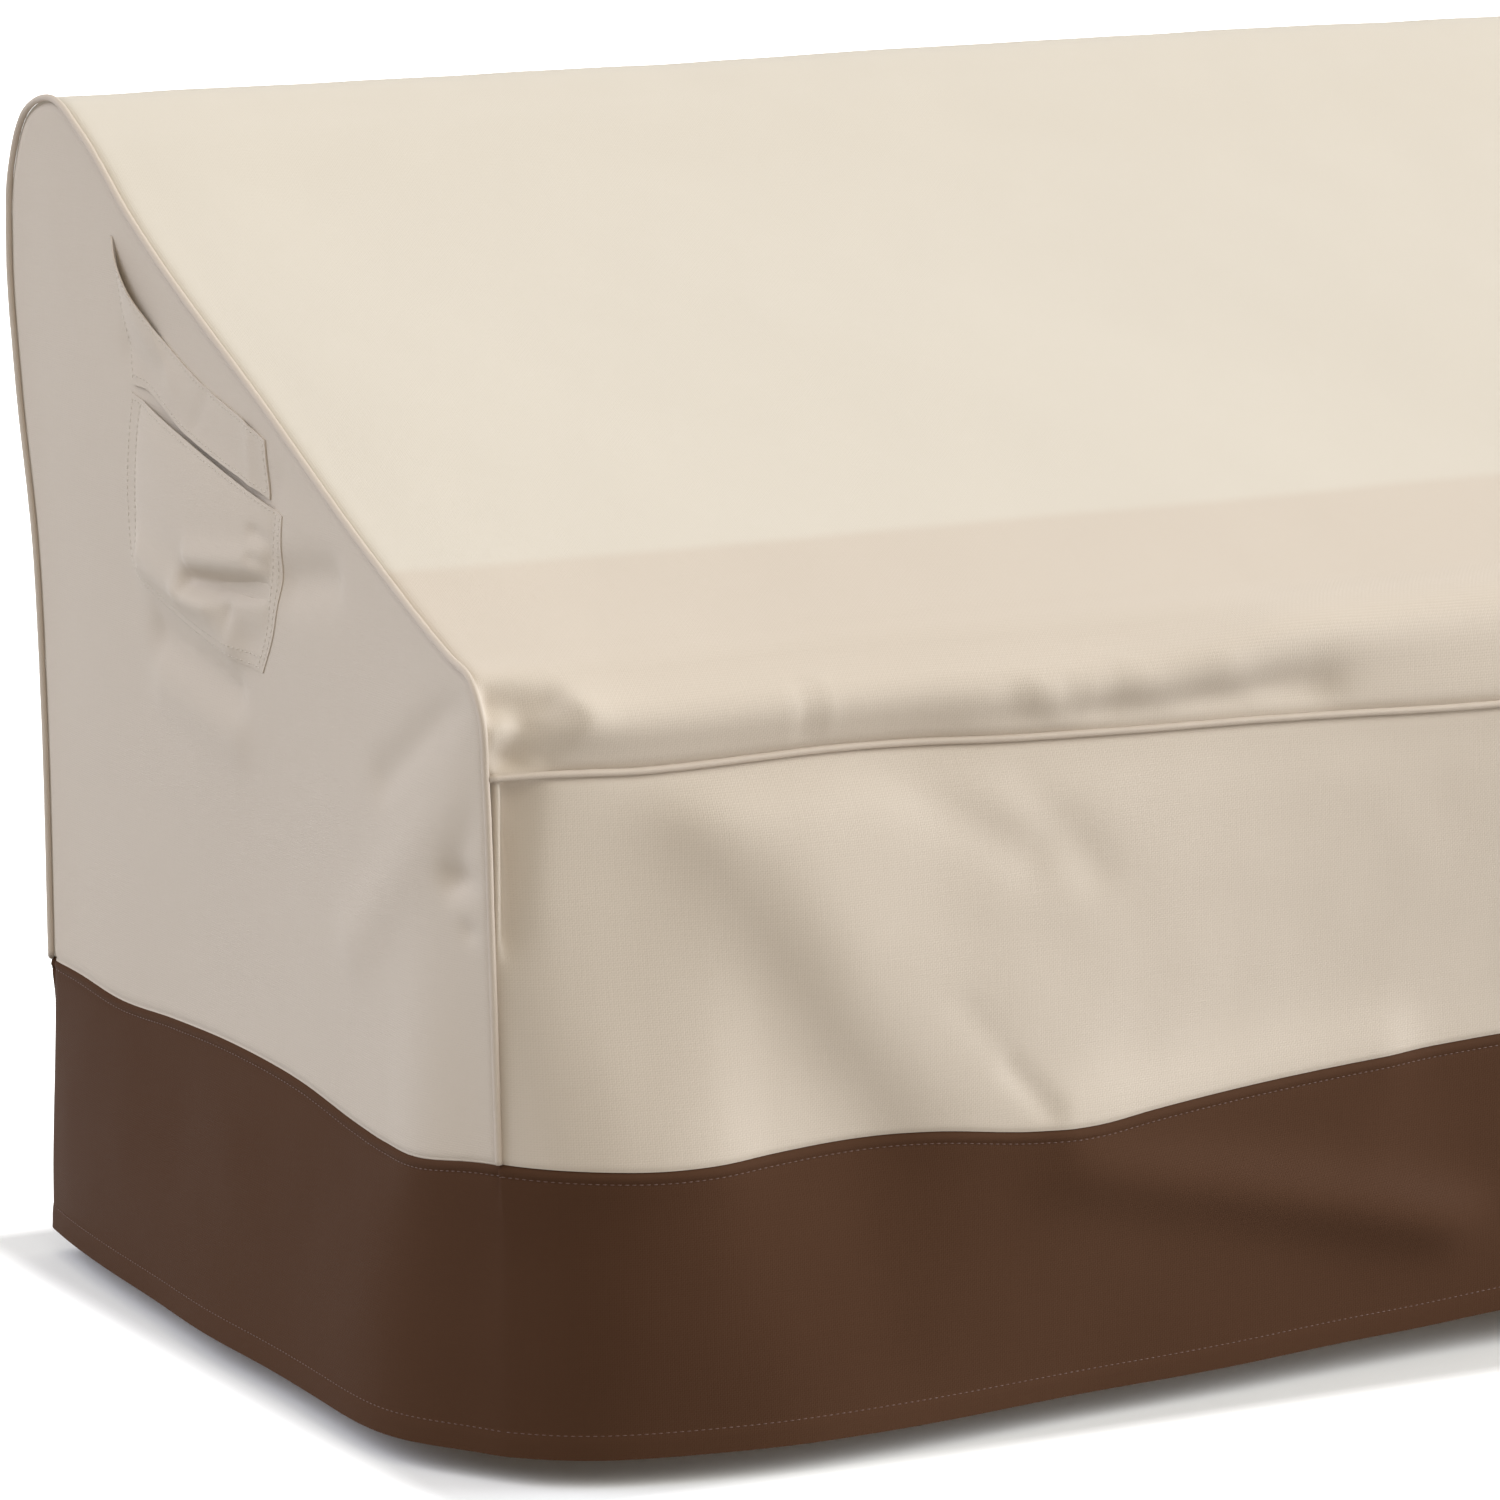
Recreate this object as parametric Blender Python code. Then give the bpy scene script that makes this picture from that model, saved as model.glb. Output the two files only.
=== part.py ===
"""Fitted outdoor sofa cover, hollow and open below, in the shape in which it hangs in use.

Metres, +Z up. The width runs along X and the front faces -Y. The origin lies under the middle
of the ridge, on the inner face of the cloth, where the cover is held up.

Every sheet is worked out in cover coordinates, x from the middle, y back from the front corner
and z up from the hem, and place() then moves its points to the origin. A sheet is a grid of
points on its middle surface, given its thickness by Solidify.
"""

import bmesh
import bpy
import numpy as np

# ---- driving sizes, in metres ----
WIDTH = 1.930  # between the two side pipings
SHEET = 0.002  # coated cloth
STRAP_THICK = 0.0025  # the strap is doubled cloth
WELT = 0.003  # radius of the piping
GAP = 0.0004  # between sewn pieces
BAND_HIGH = 0.205  # brown band, from hem to seam
FRONT_SEAM_HIGH = 0.474
RIDGE_Y = 0.725
RIDGE_HIGH = 0.862

HALF = WIDTH / 2
EDGE = WELT + GAP  # a sheet stops this far from the middle of its piping
ORIGIN = np.array([0.0, RIDGE_Y, RIDGE_HIGH - SHEET])

# ---- how finely the sheets are divided ----
HALF_COLUMNS = 22  # across half the width, closer together near the corners
END_SPACING = 0.45  # first column's width as a share of an even one
FRONT_ROWS = 12
BAND_ROWS = 5
OUTLINE_STEPS = 600  # for finding how near a point is to the outline
STRAP_COLUMNS = 14
STRAP_ROWS = 4
PATCH_COLUMNS = 14
PATCH_ROWS = 12

# ---- colours and finish ----
BEIGE = (0.760, 0.680, 0.570, 1.0)
BEIGE_PIPING = (0.720, 0.640, 0.530, 1.0)
BROWN = (0.082, 0.040, 0.025, 1.0)
CLOTH_ROUGHNESS = 0.75

# ---- the outline of a side, which is also the section of the main panel ----
# "inset" is how far the corner is drawn in from the plane of the side, and "rows" the number of
# grid rows from this line to the next. The side panels need as many rows up their front edge,
# to "corner", as down their back edge, from "bulge, top".
OUTLINE = (
    # where, y, z, inset, rows
    ("band, front", 0.021, 0.205, 0.013, 3),
    ("below the front seam", 0.020, 0.367, 0.008, 3),
    ("front seam", 0.019, 0.474, 0.004, 3),
    ("corner, below", 0.021, 0.516, 0.002, 2),
    ("corner", 0.036, 0.539, 0.001, 2),
    ("corner, above", 0.063, 0.549, 0.000, 2),
    ("slope, low", 0.183, 0.598, 0.000, 2),
    ("slope, middle", 0.355, 0.679, 0.000, 3),
    ("slope, high", 0.594, 0.793, 0.000, 2),
    ("ridge, front", 0.672, 0.841, 0.000, 3),
    ("ridge", 0.725, 0.862, 0.000, 3),
    ("ridge, back", 0.776, 0.846, 0.000, 2),
    ("bulge, top", 0.803, 0.802, 0.000, 2),
    ("bulge", 0.809, 0.742, 0.000, 2),
    ("back, upper", 0.796, 0.643, 0.000, 2),
    ("back, middle", 0.769, 0.525, 0.000, 2),
    ("back, waist", 0.758, 0.405, 0.000, 3),
    ("band, back", 0.752, 0.205, 0.000, 0),
)

# ---- how the cloth stands out along the front, by distance from the left corner ----
FRONT = (
    # u, hem out, hem up, seam out, seam up, top out, top up
    (0.013, 0.000, 0.000, 0.000, 0.002, 0.000, 0.000),
    (0.035, 0.020, 0.000, 0.022, 0.001, 0.003, 0.000),
    (0.070, 0.042, 0.000, 0.042, -0.001, 0.007, -0.001),
    (0.110, 0.053, 0.000, 0.053, -0.003, 0.009, -0.003),
    (0.150, 0.061, 0.000, 0.056, -0.003, 0.010, -0.003),
    (0.200, 0.068, 0.000, 0.049, -0.001, 0.010, -0.002),
    (0.260, 0.068, 0.000, 0.043, 0.001, 0.010, -0.001),
    (0.320, 0.064, 0.000, 0.040, 0.001, 0.011, -0.002),
    (0.400, 0.056, 0.001, 0.041, -0.007, 0.018, -0.005),
    (0.450, 0.050, 0.001, 0.039, -0.008, 0.021, -0.006),
    (0.500, 0.047, 0.001, 0.034, -0.004, 0.023, -0.007),
    (0.580, 0.042, 0.002, 0.026, 0.001, 0.025, -0.008),
    (0.660, 0.034, 0.004, 0.021, 0.005, 0.027, -0.010),
    (0.750, 0.026, 0.005, 0.017, 0.008, 0.030, -0.013),
    (0.820, 0.022, 0.008, 0.015, 0.010, 0.032, -0.014),
    (0.965, 0.020, 0.008, 0.014, 0.009, 0.033, -0.015),
    (1.100, 0.024, 0.006, 0.020, 0.004, 0.031, -0.014),
    (1.250, 0.034, 0.003, 0.030, 0.001, 0.026, -0.010),
    (1.400, 0.046, 0.001, 0.040, -0.004, 0.020, -0.007),
    (1.550, 0.055, 0.000, 0.046, -0.002, 0.014, -0.004),
    (1.700, 0.060, 0.000, 0.050, 0.002, 0.010, -0.002),
    (1.810, 0.053, 0.000, 0.050, -0.002, 0.008, -0.002),
    (1.860, 0.042, 0.000, 0.040, 0.000, 0.006, -0.001),
    (1.895, 0.020, 0.000, 0.022, 0.001, 0.003, 0.000),
    (1.917, 0.000, 0.000, 0.000, 0.002, 0.000, 0.000),
)

# ---- along a side, by distance back; "out" is from the plane of the side ----
SIDE = (
    # y, hem out, seam out, seam up
    (0.021, -0.020, -0.013, 0.002),
    (0.050, -0.003, 0.000, 0.000),
    (0.085, 0.021, 0.013, -0.004),
    (0.150, 0.032, 0.012, -0.006),
    (0.200, 0.030, 0.009, -0.004),
    (0.300, 0.027, 0.005, 0.005),
    (0.410, 0.028, 0.003, 0.008),
    (0.520, 0.021, 0.003, 0.005),
    (0.620, 0.016, 0.002, 0.000),
    (0.700, 0.009, 0.001, 0.004),
    (0.752, 0.002, 0.000, 0.005),
)

# ---- along the back, by distance from the left corner ----
BACK = (
    # u, hem out, seam out, seam up
    (0.000, 0.000, 0.000, 0.005),
    (0.120, 0.014, 0.006, 0.000),
    (0.320, 0.020, 0.010, 0.003),
    (0.620, 0.014, 0.006, -0.003),
    (0.965, 0.018, 0.009, 0.002),
    (1.280, 0.012, 0.005, -0.002),
    (1.600, 0.020, 0.010, 0.004),
    (1.810, 0.014, 0.006, 0.000),
    (1.930, 0.000, 0.000, 0.005),
)

# ---- the roll of cloth that overhangs the front seam ----
OVERHANG = (
    # u, out
    (0.000, 0.000),
    (0.060, 0.005),
    (0.120, 0.004),
    (0.180, 0.008),
    (0.250, 0.008),
    (0.300, 0.006),
    (0.400, 0.012),
    (0.500, 0.015),
    (0.580, 0.018),
    (0.660, 0.016),
    (0.730, 0.009),
    (0.800, 0.006),
    (0.965, 0.005),
    (1.200, 0.009),
    (1.430, 0.014),
    (1.600, 0.008),
    (1.780, 0.005),
    (1.930, 0.000),
)
OVERHANG_UP = 0.030  # height of the roll above the seam

# ---- folds: a soft trough (negative) or ridge from one end to the other ----
FRONT_FOLDS = (
    # what, from u, from z, to u, to z, half width, height
    ("valley by the corner", 0.020, 0.462, 0.030, 0.385, 0.016, -0.012),
    ("broad trough", 0.115, 0.456, 0.332, 0.232, 0.036, -0.020),
    ("ridge beside it", 0.176, 0.464, 0.388, 0.225, 0.026, 0.012),
    ("pinch above the band", 0.300, 0.348, 0.412, 0.202, 0.018, -0.012),
    ("faint trough", 0.237, 0.465, 0.500, 0.284, 0.035, -0.008),
    ("middle, shallow", 0.930, 0.445, 1.000, 0.230, 0.060, -0.006),
    ("right trough", 1.800, 0.456, 1.590, 0.240, 0.038, -0.018),
    ("right ridge", 1.735, 0.462, 1.530, 0.230, 0.028, 0.010),
    ("right, faint", 1.640, 0.460, 1.380, 0.290, 0.035, -0.007),
)
SIDE_FOLDS = (
    # what, from y, from z, to y, to z, half width, height
    ("pull from the corner", 0.030, 0.520, 0.240, 0.386, 0.026, -0.005),
    ("ridge under it", 0.040, 0.470, 0.200, 0.330, 0.026, 0.004),
    ("dent by the piping", 0.024, 0.398, 0.085, 0.402, 0.014, -0.007),
)
MAIN_FOLDS = (
    # what, from u, from s above the front seam, to u, to s, half width, height
    ("dimple by the corner", 0.014, 0.050, 0.048, 0.028, 0.014, -0.007),
    ("second dimple", 0.040, 0.060, 0.070, 0.030, 0.012, -0.004),
    ("slope, shallow", 0.700, 0.500, 0.900, 0.250, 0.120, -0.003),
    ("slope, right", 1.350, 0.560, 1.600, 0.260, 0.120, -0.003),
)
BACK_FOLDS = (
    # what, from u, from z, to u, to z, half width, height
    ("left, leaning", 0.180, 0.620, 0.330, 0.300, 0.070, -0.008),
    ("middle", 0.900, 0.640, 0.960, 0.300, 0.090, -0.007),
    ("right, leaning", 1.720, 0.600, 1.560, 0.290, 0.070, -0.008),
)
BAND_FOLDS = (
    # what, from u, from z, to u, to z, half width, height
    ("ridge", 0.420, 0.186, 0.800, 0.096, 0.030, 0.006),
    ("right ridge", 1.560, 0.170, 1.200, 0.100, 0.030, 0.005),
)
CROWN = 0.004  # how far the main panel rises between its pipings
CROWN_RUN = 0.045
FOLD_RUN = 0.015  # how soon the main panel's folds begin above the front seam
BACK_FOLD_RUN = 0.050  # and the back's above the band
FRONT_FOLLOW = 0.060  # how far above the front seam the main panel follows its line
BACK_FOLLOW = 0.180  # and above the band, at the back
BELLY = 0.005  # the same for the side panels
BELLY_RUN = 0.080
FLARE_HIGH = 0.160  # how far above the band a side follows its seam outwards
CORNER_RUN = 0.025  # how soon a side leaves its piping
BAND_CORNER_RUN = 0.040  # how soon the band's bulge starts on a side
SEAM_RUN = 0.030  # and how far below the front seam its folds begin
HEM_FRONT_Y = 0.028
HEM_BACK_Y = 0.757
BAND_BULGE = 0.003

# ---- the strap, on the side panel; "lift" is its middle surface off the panel's ----
STRAP = (
    # where, upper y, upper z, lower y, lower z, upper lift, lower lift
    ("back end", 0.604, 0.776, 0.558, 0.672, 0.0030, 0.0062),
    ("slot, top", 0.573, 0.756, 0.532, 0.669, 0.0095, 0.0085),
    ("slot, middle", 0.549, 0.739, 0.501, 0.663, 0.0125, 0.0120),
    ("slot, bottom", 0.530, 0.722, 0.472, 0.657, 0.0090, 0.0140),
    ("seam", 0.512, 0.708, 0.439, 0.648, 0.0030, 0.0150),
    ("middle", 0.440, 0.685, 0.389, 0.637, 0.0028, 0.0150),
    ("front fold", 0.374, 0.666, 0.356, 0.624, 0.0028, 0.0110),
    ("front end", 0.342, 0.657, 0.332, 0.617, 0.0030, 0.0062),
)
# ---- the patch under it, between its back and front edges ----
PATCH = (
    # where, back y, back z, front y, front z
    ("mouth", 0.556, 0.684, 0.332, 0.630),
    ("upper", 0.556, 0.642, 0.331, 0.598),
    ("middle", 0.562, 0.592, 0.333, 0.552),
    ("lower", 0.571, 0.553, 0.342, 0.514),
    ("bottom", 0.566, 0.539, 0.362, 0.495),
)
BOTTOM_SAG = 0.007
PATCH_SEWN = 0.0025  # lift of the patch at its sewn edges
PATCH_PUFF = 0.0075
MOUTH_SHARE = 0.15  # of the puff, at the mouth
PUFF_LOW = 0.62  # how far down the patch its puff is highest
PATCH_FOLDS = (
    # what, from y, from z, to y, to z, half width, height
    ("crease", 0.340, 0.556, 0.455, 0.537, 0.010, -0.004),
)


def column(table, index):
    return np.array([row[index] for row in table], float)


def smooth(at, knots, values):
    """A smooth curve through (knots, values), level past its ends."""
    at = np.clip(at, knots[0], knots[-1])
    step = np.diff(knots)
    slope = np.diff(values) / step
    inner = (step[1:] * slope[:-1] + step[:-1] * slope[1:]) / (step[1:] + step[:-1])
    tangent = np.concatenate([slope[:1], inner, slope[-1:]])
    k = np.clip(np.searchsorted(knots, at, side="right") - 1, 0, len(step) - 1)
    t = (at - knots[k]) / step[k]
    return (
        (1 + 2 * t) * (1 - t) ** 2 * values[k]
        + t * (1 - t) ** 2 * step[k] * tangent[k]
        + t**2 * (3 - 2 * t) * values[k + 1]
        + t**2 * (t - 1) * step[k] * tangent[k + 1]
    )


def look_up(table, at, index):
    return smooth(at, column(table, 0), column(table, index))


def folds(table, a, b):
    """Sum of the soft troughs and ridges of a table at the points (a, b)."""
    total = np.zeros(np.broadcast(a, b).shape)
    for _, a0, b0, a1, b1, half_width, height in table:
        long = np.hypot(a1 - a0, b1 - b0)
        ua, ub = (a1 - a0) / long, (b1 - b0) / long
        along = (a - a0) * ua + (b - b0) * ub
        across = (b - b0) * ua - (a - a0) * ub
        past = np.maximum(0, np.maximum(-along, along - long))
        total += height * np.exp(-((across / half_width) ** 2) - (past / half_width) ** 2)
    return total


def run_in(distance, run):
    """0 at an edge, rising to 1 over about twice the run."""
    return 1 - np.exp(-((distance / run) ** 2))


# ---- the outline as a curve ----
OUT_Y, OUT_Z, OUT_INSET = (column(OUTLINE, k) for k in (1, 2, 3))
KNOTS = np.concatenate([[0], np.cumsum(np.hypot(np.diff(OUT_Y), np.diff(OUT_Z)))])
ROW_AT = np.cumsum([0] + [row[4] for row in OUTLINE])[:-1]  # grid row of each line
STATIONS = np.interp(np.arange(ROW_AT[-1] + 1), ROW_AT, KNOTS)


def line_of(where):
    return [row[0] for row in OUTLINE].index(where)


def row_of(where):
    return int(ROW_AT[line_of(where)])


def outline(s):
    """Points (y, z), outward normals (y, z) and insets of the outline at lengths s."""
    y, z = smooth(s, KNOTS, OUT_Y), smooth(s, KNOTS, OUT_Z)
    step = 0.001
    low, high = np.maximum(s - step, 0), np.minimum(s + step, KNOTS[-1])
    dy = smooth(high, KNOTS, OUT_Y) - smooth(low, KNOTS, OUT_Y)
    dz = smooth(high, KNOTS, OUT_Z) - smooth(low, KNOTS, OUT_Z)
    size = np.hypot(dy, dz)
    return y, z, -dz / size, dy / size, smooth(s, KNOTS, OUT_INSET)


def corner_at(z):
    """y and inset of the front corner at heights z, up to the front seam."""
    end = line_of("front seam") + 1
    return smooth(z, OUT_Z[:end], OUT_Y[:end]), smooth(z, OUT_Z[:end], OUT_INSET[:end])


def columns_at(inset):
    """x of the grid's columns, between corners drawn in by inset."""
    share = np.arange(HALF_COLUMNS + 1) / HALF_COLUMNS
    from_end = END_SPACING * share + (1 - END_SPACING) * share**2
    share = np.concatenate([from_end, 2 - from_end[-2::-1]]) - 1
    return np.multiply.outer(HALF - inset - EDGE, share)


# ---- surfaces, in cover coordinates ----
def front_y(x, z):
    """The front, between the band's seam and the front seam."""
    u = x + HALF
    seam = BAND_HIGH + look_up(FRONT, u, 4)
    top = FRONT_SEAM_HIGH + look_up(FRONT, u, 6)
    share = np.clip((z - seam) / (top - seam), 0, 1)
    out = (1 - share) * look_up(FRONT, u, 3) + share * look_up(FRONT, u, 5)
    fade = run_in(np.minimum(u, WIDTH - u) - OUT_INSET[0], CORNER_RUN)
    fade = fade * run_in(np.maximum(top - z, 0), SEAM_RUN)
    return corner_at(z)[0] - out - folds(FRONT_FOLDS, u, z) * fade


def side_out(y, z):
    """How far a side stands out of its plane."""
    oy, oz, _, _, inset = outline(np.linspace(0, KNOTS[-1], OUTLINE_STEPS))
    apart = np.hypot(np.subtract.outer(y, oy), np.subtract.outer(z, oz))
    closest = apart.argmin(axis=-1)
    distance = apart.min(axis=-1)
    leaves = 1 - np.exp(-distance / CORNER_RUN)
    low = np.exp(-(((z - BAND_HIGH) / FLARE_HIGH) ** 2))
    out = look_up(SIDE, y, 2) * low + BELLY * run_in(distance, BELLY_RUN) * (1 - low)
    out = out + folds(SIDE_FOLDS, y, z) * run_in(distance, CORNER_RUN)
    return out * leaves - inset[closest] * (1 - leaves)


def main_panel_points():
    """From the front seam up the slope, over the ridge and down the back: rows by columns."""
    s = STATIONS[row_of("front seam") :].copy()
    start, end = s[0], s[-1]
    s[0] += EDGE
    s[-1] -= GAP
    y, z, ny, nz, inset = (k[:, None] for k in outline(s))
    x = columns_at(inset[:, 0])
    u = x + HALF
    above, below = s[:, None] - start, end - s[:, None]
    edge = run_in(np.minimum(u, WIDTH - u) - inset, CROWN_RUN)
    roll = above / OVERHANG_UP * np.exp(1 - above / OVERHANG_UP)
    slope = np.sin(np.pi * np.clip(above / (KNOTS[line_of("ridge")] - start), 0, 1))
    out = CROWN * edge * slope + look_up(OVERHANG, u, 1) * roll**2
    out = out + folds(MAIN_FOLDS, u, above) * edge * run_in(above, FOLD_RUN)
    on_back = (y > RIDGE_Y) * edge * run_in(below, BACK_FOLD_RUN)
    out = out + folds(BACK_FOLDS, u, z) * on_back
    # near the two seams the panel follows what it is sewn to
    front = np.exp(-((above / FRONT_FOLLOW) ** 2))
    back = np.exp(-((below / BACK_FOLLOW) ** 2))
    y = y - look_up(FRONT, u, 5) * front + look_up(BACK, u, 2) * back
    z = z + look_up(FRONT, u, 6) * front + look_up(BACK, u, 3) * back
    return np.stack([x, y + ny * out, z + nz * out], -1)


def front_panel_points():
    rows = []
    for part in np.linspace(0, 1, FRONT_ROWS + 1):
        inset = corner_at(BAND_HIGH + part * (FRONT_SEAM_HIGH - BAND_HIGH))[1]
        x = columns_at(inset)
        low = BAND_HIGH + look_up(FRONT, x + HALF, 4) + GAP / 2
        high = FRONT_SEAM_HIGH + look_up(FRONT, x + HALF, 6) - EDGE
        z = low + part * (high - low)
        rows.append(np.stack([x, front_y(x, z), z], -1))
    return np.array(rows)


def side_seam(y):
    return BAND_HIGH + look_up(SIDE, y, 3)


def side_seam_y():
    first, last = OUT_Y[0] + EDGE, OUT_Y[-1] - EDGE
    return np.linspace(first, last, row_of("bulge, top") - row_of("corner") + 1)


def side_panel_points(side):
    """A patch between the outline, just inside its piping, and the band's seam."""
    y, z, ny, nz, _ = outline(STATIONS)
    y, z = y - ny * EDGE, z - nz * EDGE
    low, high = row_of("corner"), row_of("bulge, top")
    front, over, back = slice(0, low + 1), slice(low, high + 1), slice(high, None)
    seam_y = side_seam_y()
    edges = (
        np.stack([seam_y, side_seam(seam_y) + GAP / 2], -1),
        np.stack([y[over], z[over]], -1),
        np.stack([y[front], z[front]], -1),
        np.stack([y[back], z[back]], -1)[::-1],
    )
    bottom, top, left, right = edges
    left[0], right[0] = bottom[0], bottom[-1]
    up = np.linspace(0, 1, len(left))[:, None, None]
    along = np.linspace(0, 1, len(bottom))[None, :, None]
    sides = (1 - along) * left[:, None] + along * right[:, None]
    rails = (1 - up) * bottom[None] + up * top[None]
    corners = (1 - up) * ((1 - along) * bottom[0] + along * bottom[-1])
    corners = corners + up * ((1 - along) * top[0] + along * top[-1])
    flat = sides + rails - corners
    return on_side(side, flat[..., 0], flat[..., 1], 0)


def on_side(side, y, z, lift):
    return np.stack([side * (HALF + side_out(y, z) + lift), y, z], -1)


def band_points():
    """The ring of the band, from the hem up: left corner, front, right side, back, left side."""
    x = columns_at(OUT_INSET[0])
    back_x = columns_at(OUT_INSET[-1])[::-1]
    y = side_seam_y()
    shares = np.linspace(0, 1, BAND_ROWS + 1)[:, None]

    def between(hem, seam):
        return hem * (1 - shares) + seam * shares

    def front(x_seam):
        u = x_seam + HALF
        z_seam = BAND_HIGH + look_up(FRONT, u, 4) - GAP / 2
        hem_x = x_seam * (HALF + SIDE[0][1]) / (HALF - OUT_INSET[0])
        z = between(look_up(FRONT, u, 2), z_seam)
        seam_y = front_y(x_seam, z_seam)
        out = folds(BAND_FOLDS, u, z) + BAND_BULGE * np.sin(np.pi * shares)
        fade = run_in(np.minimum(u, WIDTH - u) - OUT_INSET[0], CORNER_RUN)
        out = out * fade * (1 - shares**4)
        y_at = between(HEM_FRONT_Y - look_up(FRONT, u, 1), seam_y) - out
        return np.stack([between(hem_x, x_seam), y_at, z], -1)

    def back(x_seam):
        u = x_seam + HALF
        seam_y = OUT_Y[-1] + look_up(BACK, u, 2)
        hem_y = HEM_BACK_Y + look_up(BACK, u, 1)
        z_seam = BAND_HIGH + look_up(BACK, u, 3) - GAP / 2
        flat = np.zeros_like(u)
        x_at = between(x_seam, x_seam)
        return np.stack([x_at, between(hem_y, seam_y), between(flat, z_seam)], -1)

    def one_side(side, y_seam):
        z_seam = side_seam(y_seam) - GAP / 2
        share = (y_seam - OUT_Y[0]) / (OUT_Y[-1] - OUT_Y[0])
        hem_y = HEM_FRONT_Y + share * (HEM_BACK_Y - HEM_FRONT_Y)
        seam_x = HALF + side_out(y_seam, z_seam)
        hem_x = HALF + look_up(SIDE, y_seam, 1)
        bulge = BAND_BULGE * np.sin(np.pi * shares) * run_in(y_seam - y_seam[0], BAND_CORNER_RUN)
        bulge = bulge * run_in(y_seam[-1] - y_seam, BAND_CORNER_RUN)
        x_at = side * (between(hem_x, seam_x) + bulge)
        flat = np.zeros_like(y_seam)
        return np.stack([x_at, between(hem_y, y_seam), between(flat, z_seam)], -1)

    corner = np.array([HALF - OUT_INSET[0]])
    back_corner = np.array([HALF - OUT_INSET[-1]])
    ring = [front(-corner), front(x), front(corner), one_side(1, y)]
    ring += [back(back_corner), back(back_x), back(-back_corner), one_side(-1, y[::-1])]
    return np.concatenate(ring, axis=1)


def strap_points(side):
    at = np.linspace(0, len(STRAP) - 1, STRAP_COLUMNS + 1)
    knots = np.arange(len(STRAP), dtype=float)
    upper_y, upper_z, lower_y, lower_z, upper_lift, lower_lift = (
        smooth(at, knots, column(STRAP, k)) for k in range(1, 7)
    )
    down = np.linspace(0, 1, STRAP_ROWS + 1)[:, None]
    y = upper_y * (1 - down) + lower_y * down
    z = upper_z * (1 - down) + lower_z * down
    lift = upper_lift * (1 - down) + lower_lift * down
    return on_side(side, y, z, lift)


def patch_points(side):
    down = np.linspace(0, 1, PATCH_ROWS + 1)
    knots = np.linspace(0, 1, len(PATCH))
    back_y, back_z, fore_y, fore_z = (
        smooth(down, knots, column(PATCH, k))[:, None] for k in range(1, 5)
    )
    across = np.linspace(0, 1, PATCH_COLUMNS + 1)
    down = down[:, None]
    y = (1 - across) * back_y + across * fore_y
    z = (1 - across) * back_z + across * fore_z - BOTTOM_SAG * down * np.sin(np.pi * across)
    fall = smooth(down, np.array([0, PUFF_LOW, 1.0]), np.array([MOUTH_SHARE, 1.0, 0.0]))
    puff = np.sin(np.pi * across) * fall
    lift = PATCH_SEWN + PATCH_PUFF * puff + folds(PATCH_FOLDS, y, z) * np.minimum(1, 2 * puff)
    return on_side(side, y, z, lift)


def piping_side_points(side):
    y, z, _, _, inset = outline(STATIONS)
    z[0] = side_seam(y[:1])[0] + GAP
    z[-1] = side_seam(y[-1:])[0] + GAP
    return np.stack([side * (HALF - inset), y, z], -1)


def piping_front_points():
    x = columns_at(OUT_INSET[line_of("front seam")])
    u = x + HALF
    y = corner_at(FRONT_SEAM_HIGH)[0] - look_up(FRONT, u, 5)
    return np.stack([x, y, FRONT_SEAM_HIGH + look_up(FRONT, u, 6)], -1)


# ---- making the objects ----
def clear_scene():
    for obj in list(bpy.data.objects):
        bpy.data.objects.remove(obj)


def material(name, colour):
    made = bpy.data.materials.new(name)
    made.use_nodes = True
    shader = made.node_tree.nodes["Principled BSDF"]
    shader.inputs["Base Color"].default_value = colour
    shader.inputs["Roughness"].default_value = CLOTH_ROUGHNESS
    made.diffuse_color = colour
    return made


def place(points):
    return points - ORIGIN


def add_object(name, data, colour):
    obj = bpy.data.objects.new(name, data)
    data.materials.append(material(name, colour))
    bpy.context.scene.collection.objects.link(obj)
    return obj


def add_sheet(name, points, colour, thickness=SHEET, closed=False):
    """A sheet through rows by columns of points; a closed one joins its ends into a ring."""
    points = place(points)
    if closed:
        points = np.concatenate([points, points[:, :1]], axis=1)
    rows, columns = points.shape[0] - 1, points.shape[1] - 1
    bm = bmesh.new()
    bmesh.ops.create_grid(bm, x_segments=columns, y_segments=rows, size=1)
    for vert in bm.verts:
        i = round((vert.co.y + 1) / 2 * rows)
        j = round((vert.co.x + 1) / 2 * columns)
        vert.co = points[i, j]
    bmesh.ops.remove_doubles(bm, verts=bm.verts, dist=1e-6)
    bmesh.ops.recalc_face_normals(bm, faces=bm.faces)
    mesh = bpy.data.meshes.new(name)
    bm.to_mesh(mesh)
    bm.free()
    mesh.shade_smooth()
    obj = add_object(name, mesh, colour)
    solid = obj.modifiers.new("thickness", "SOLIDIFY")
    solid.thickness = thickness
    solid.offset = 0
    return obj


def add_piping(name, points):
    curve = bpy.data.curves.new(name, "CURVE")
    curve.dimensions = "3D"
    curve.bevel_depth = WELT
    curve.bevel_resolution = 2
    curve.use_fill_caps = True
    line = curve.splines.new("POLY")
    line.points.add(len(points) - 1)
    for spot, point in zip(line.points, place(points)):
        spot.co = (*point, 1)
    return add_object(name, curve, BEIGE_PIPING)


def build():
    clear_scene()
    add_sheet("main_panel", main_panel_points(), BEIGE)
    add_sheet("front_panel", front_panel_points(), BEIGE)
    add_sheet("hem_band", band_points(), BROWN, closed=True)
    add_piping("piping_front", piping_front_points())
    for name, side in (("left", -1), ("right", 1)):
        add_sheet("side_panel_" + name, side_panel_points(side), BEIGE)
        add_piping("piping_" + name, piping_side_points(side))
        add_sheet("vent_patch_" + name, patch_points(side), BEIGE)
        add_sheet("handle_strap_" + name, strap_points(side), BEIGE, STRAP_THICK)


build()
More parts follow.
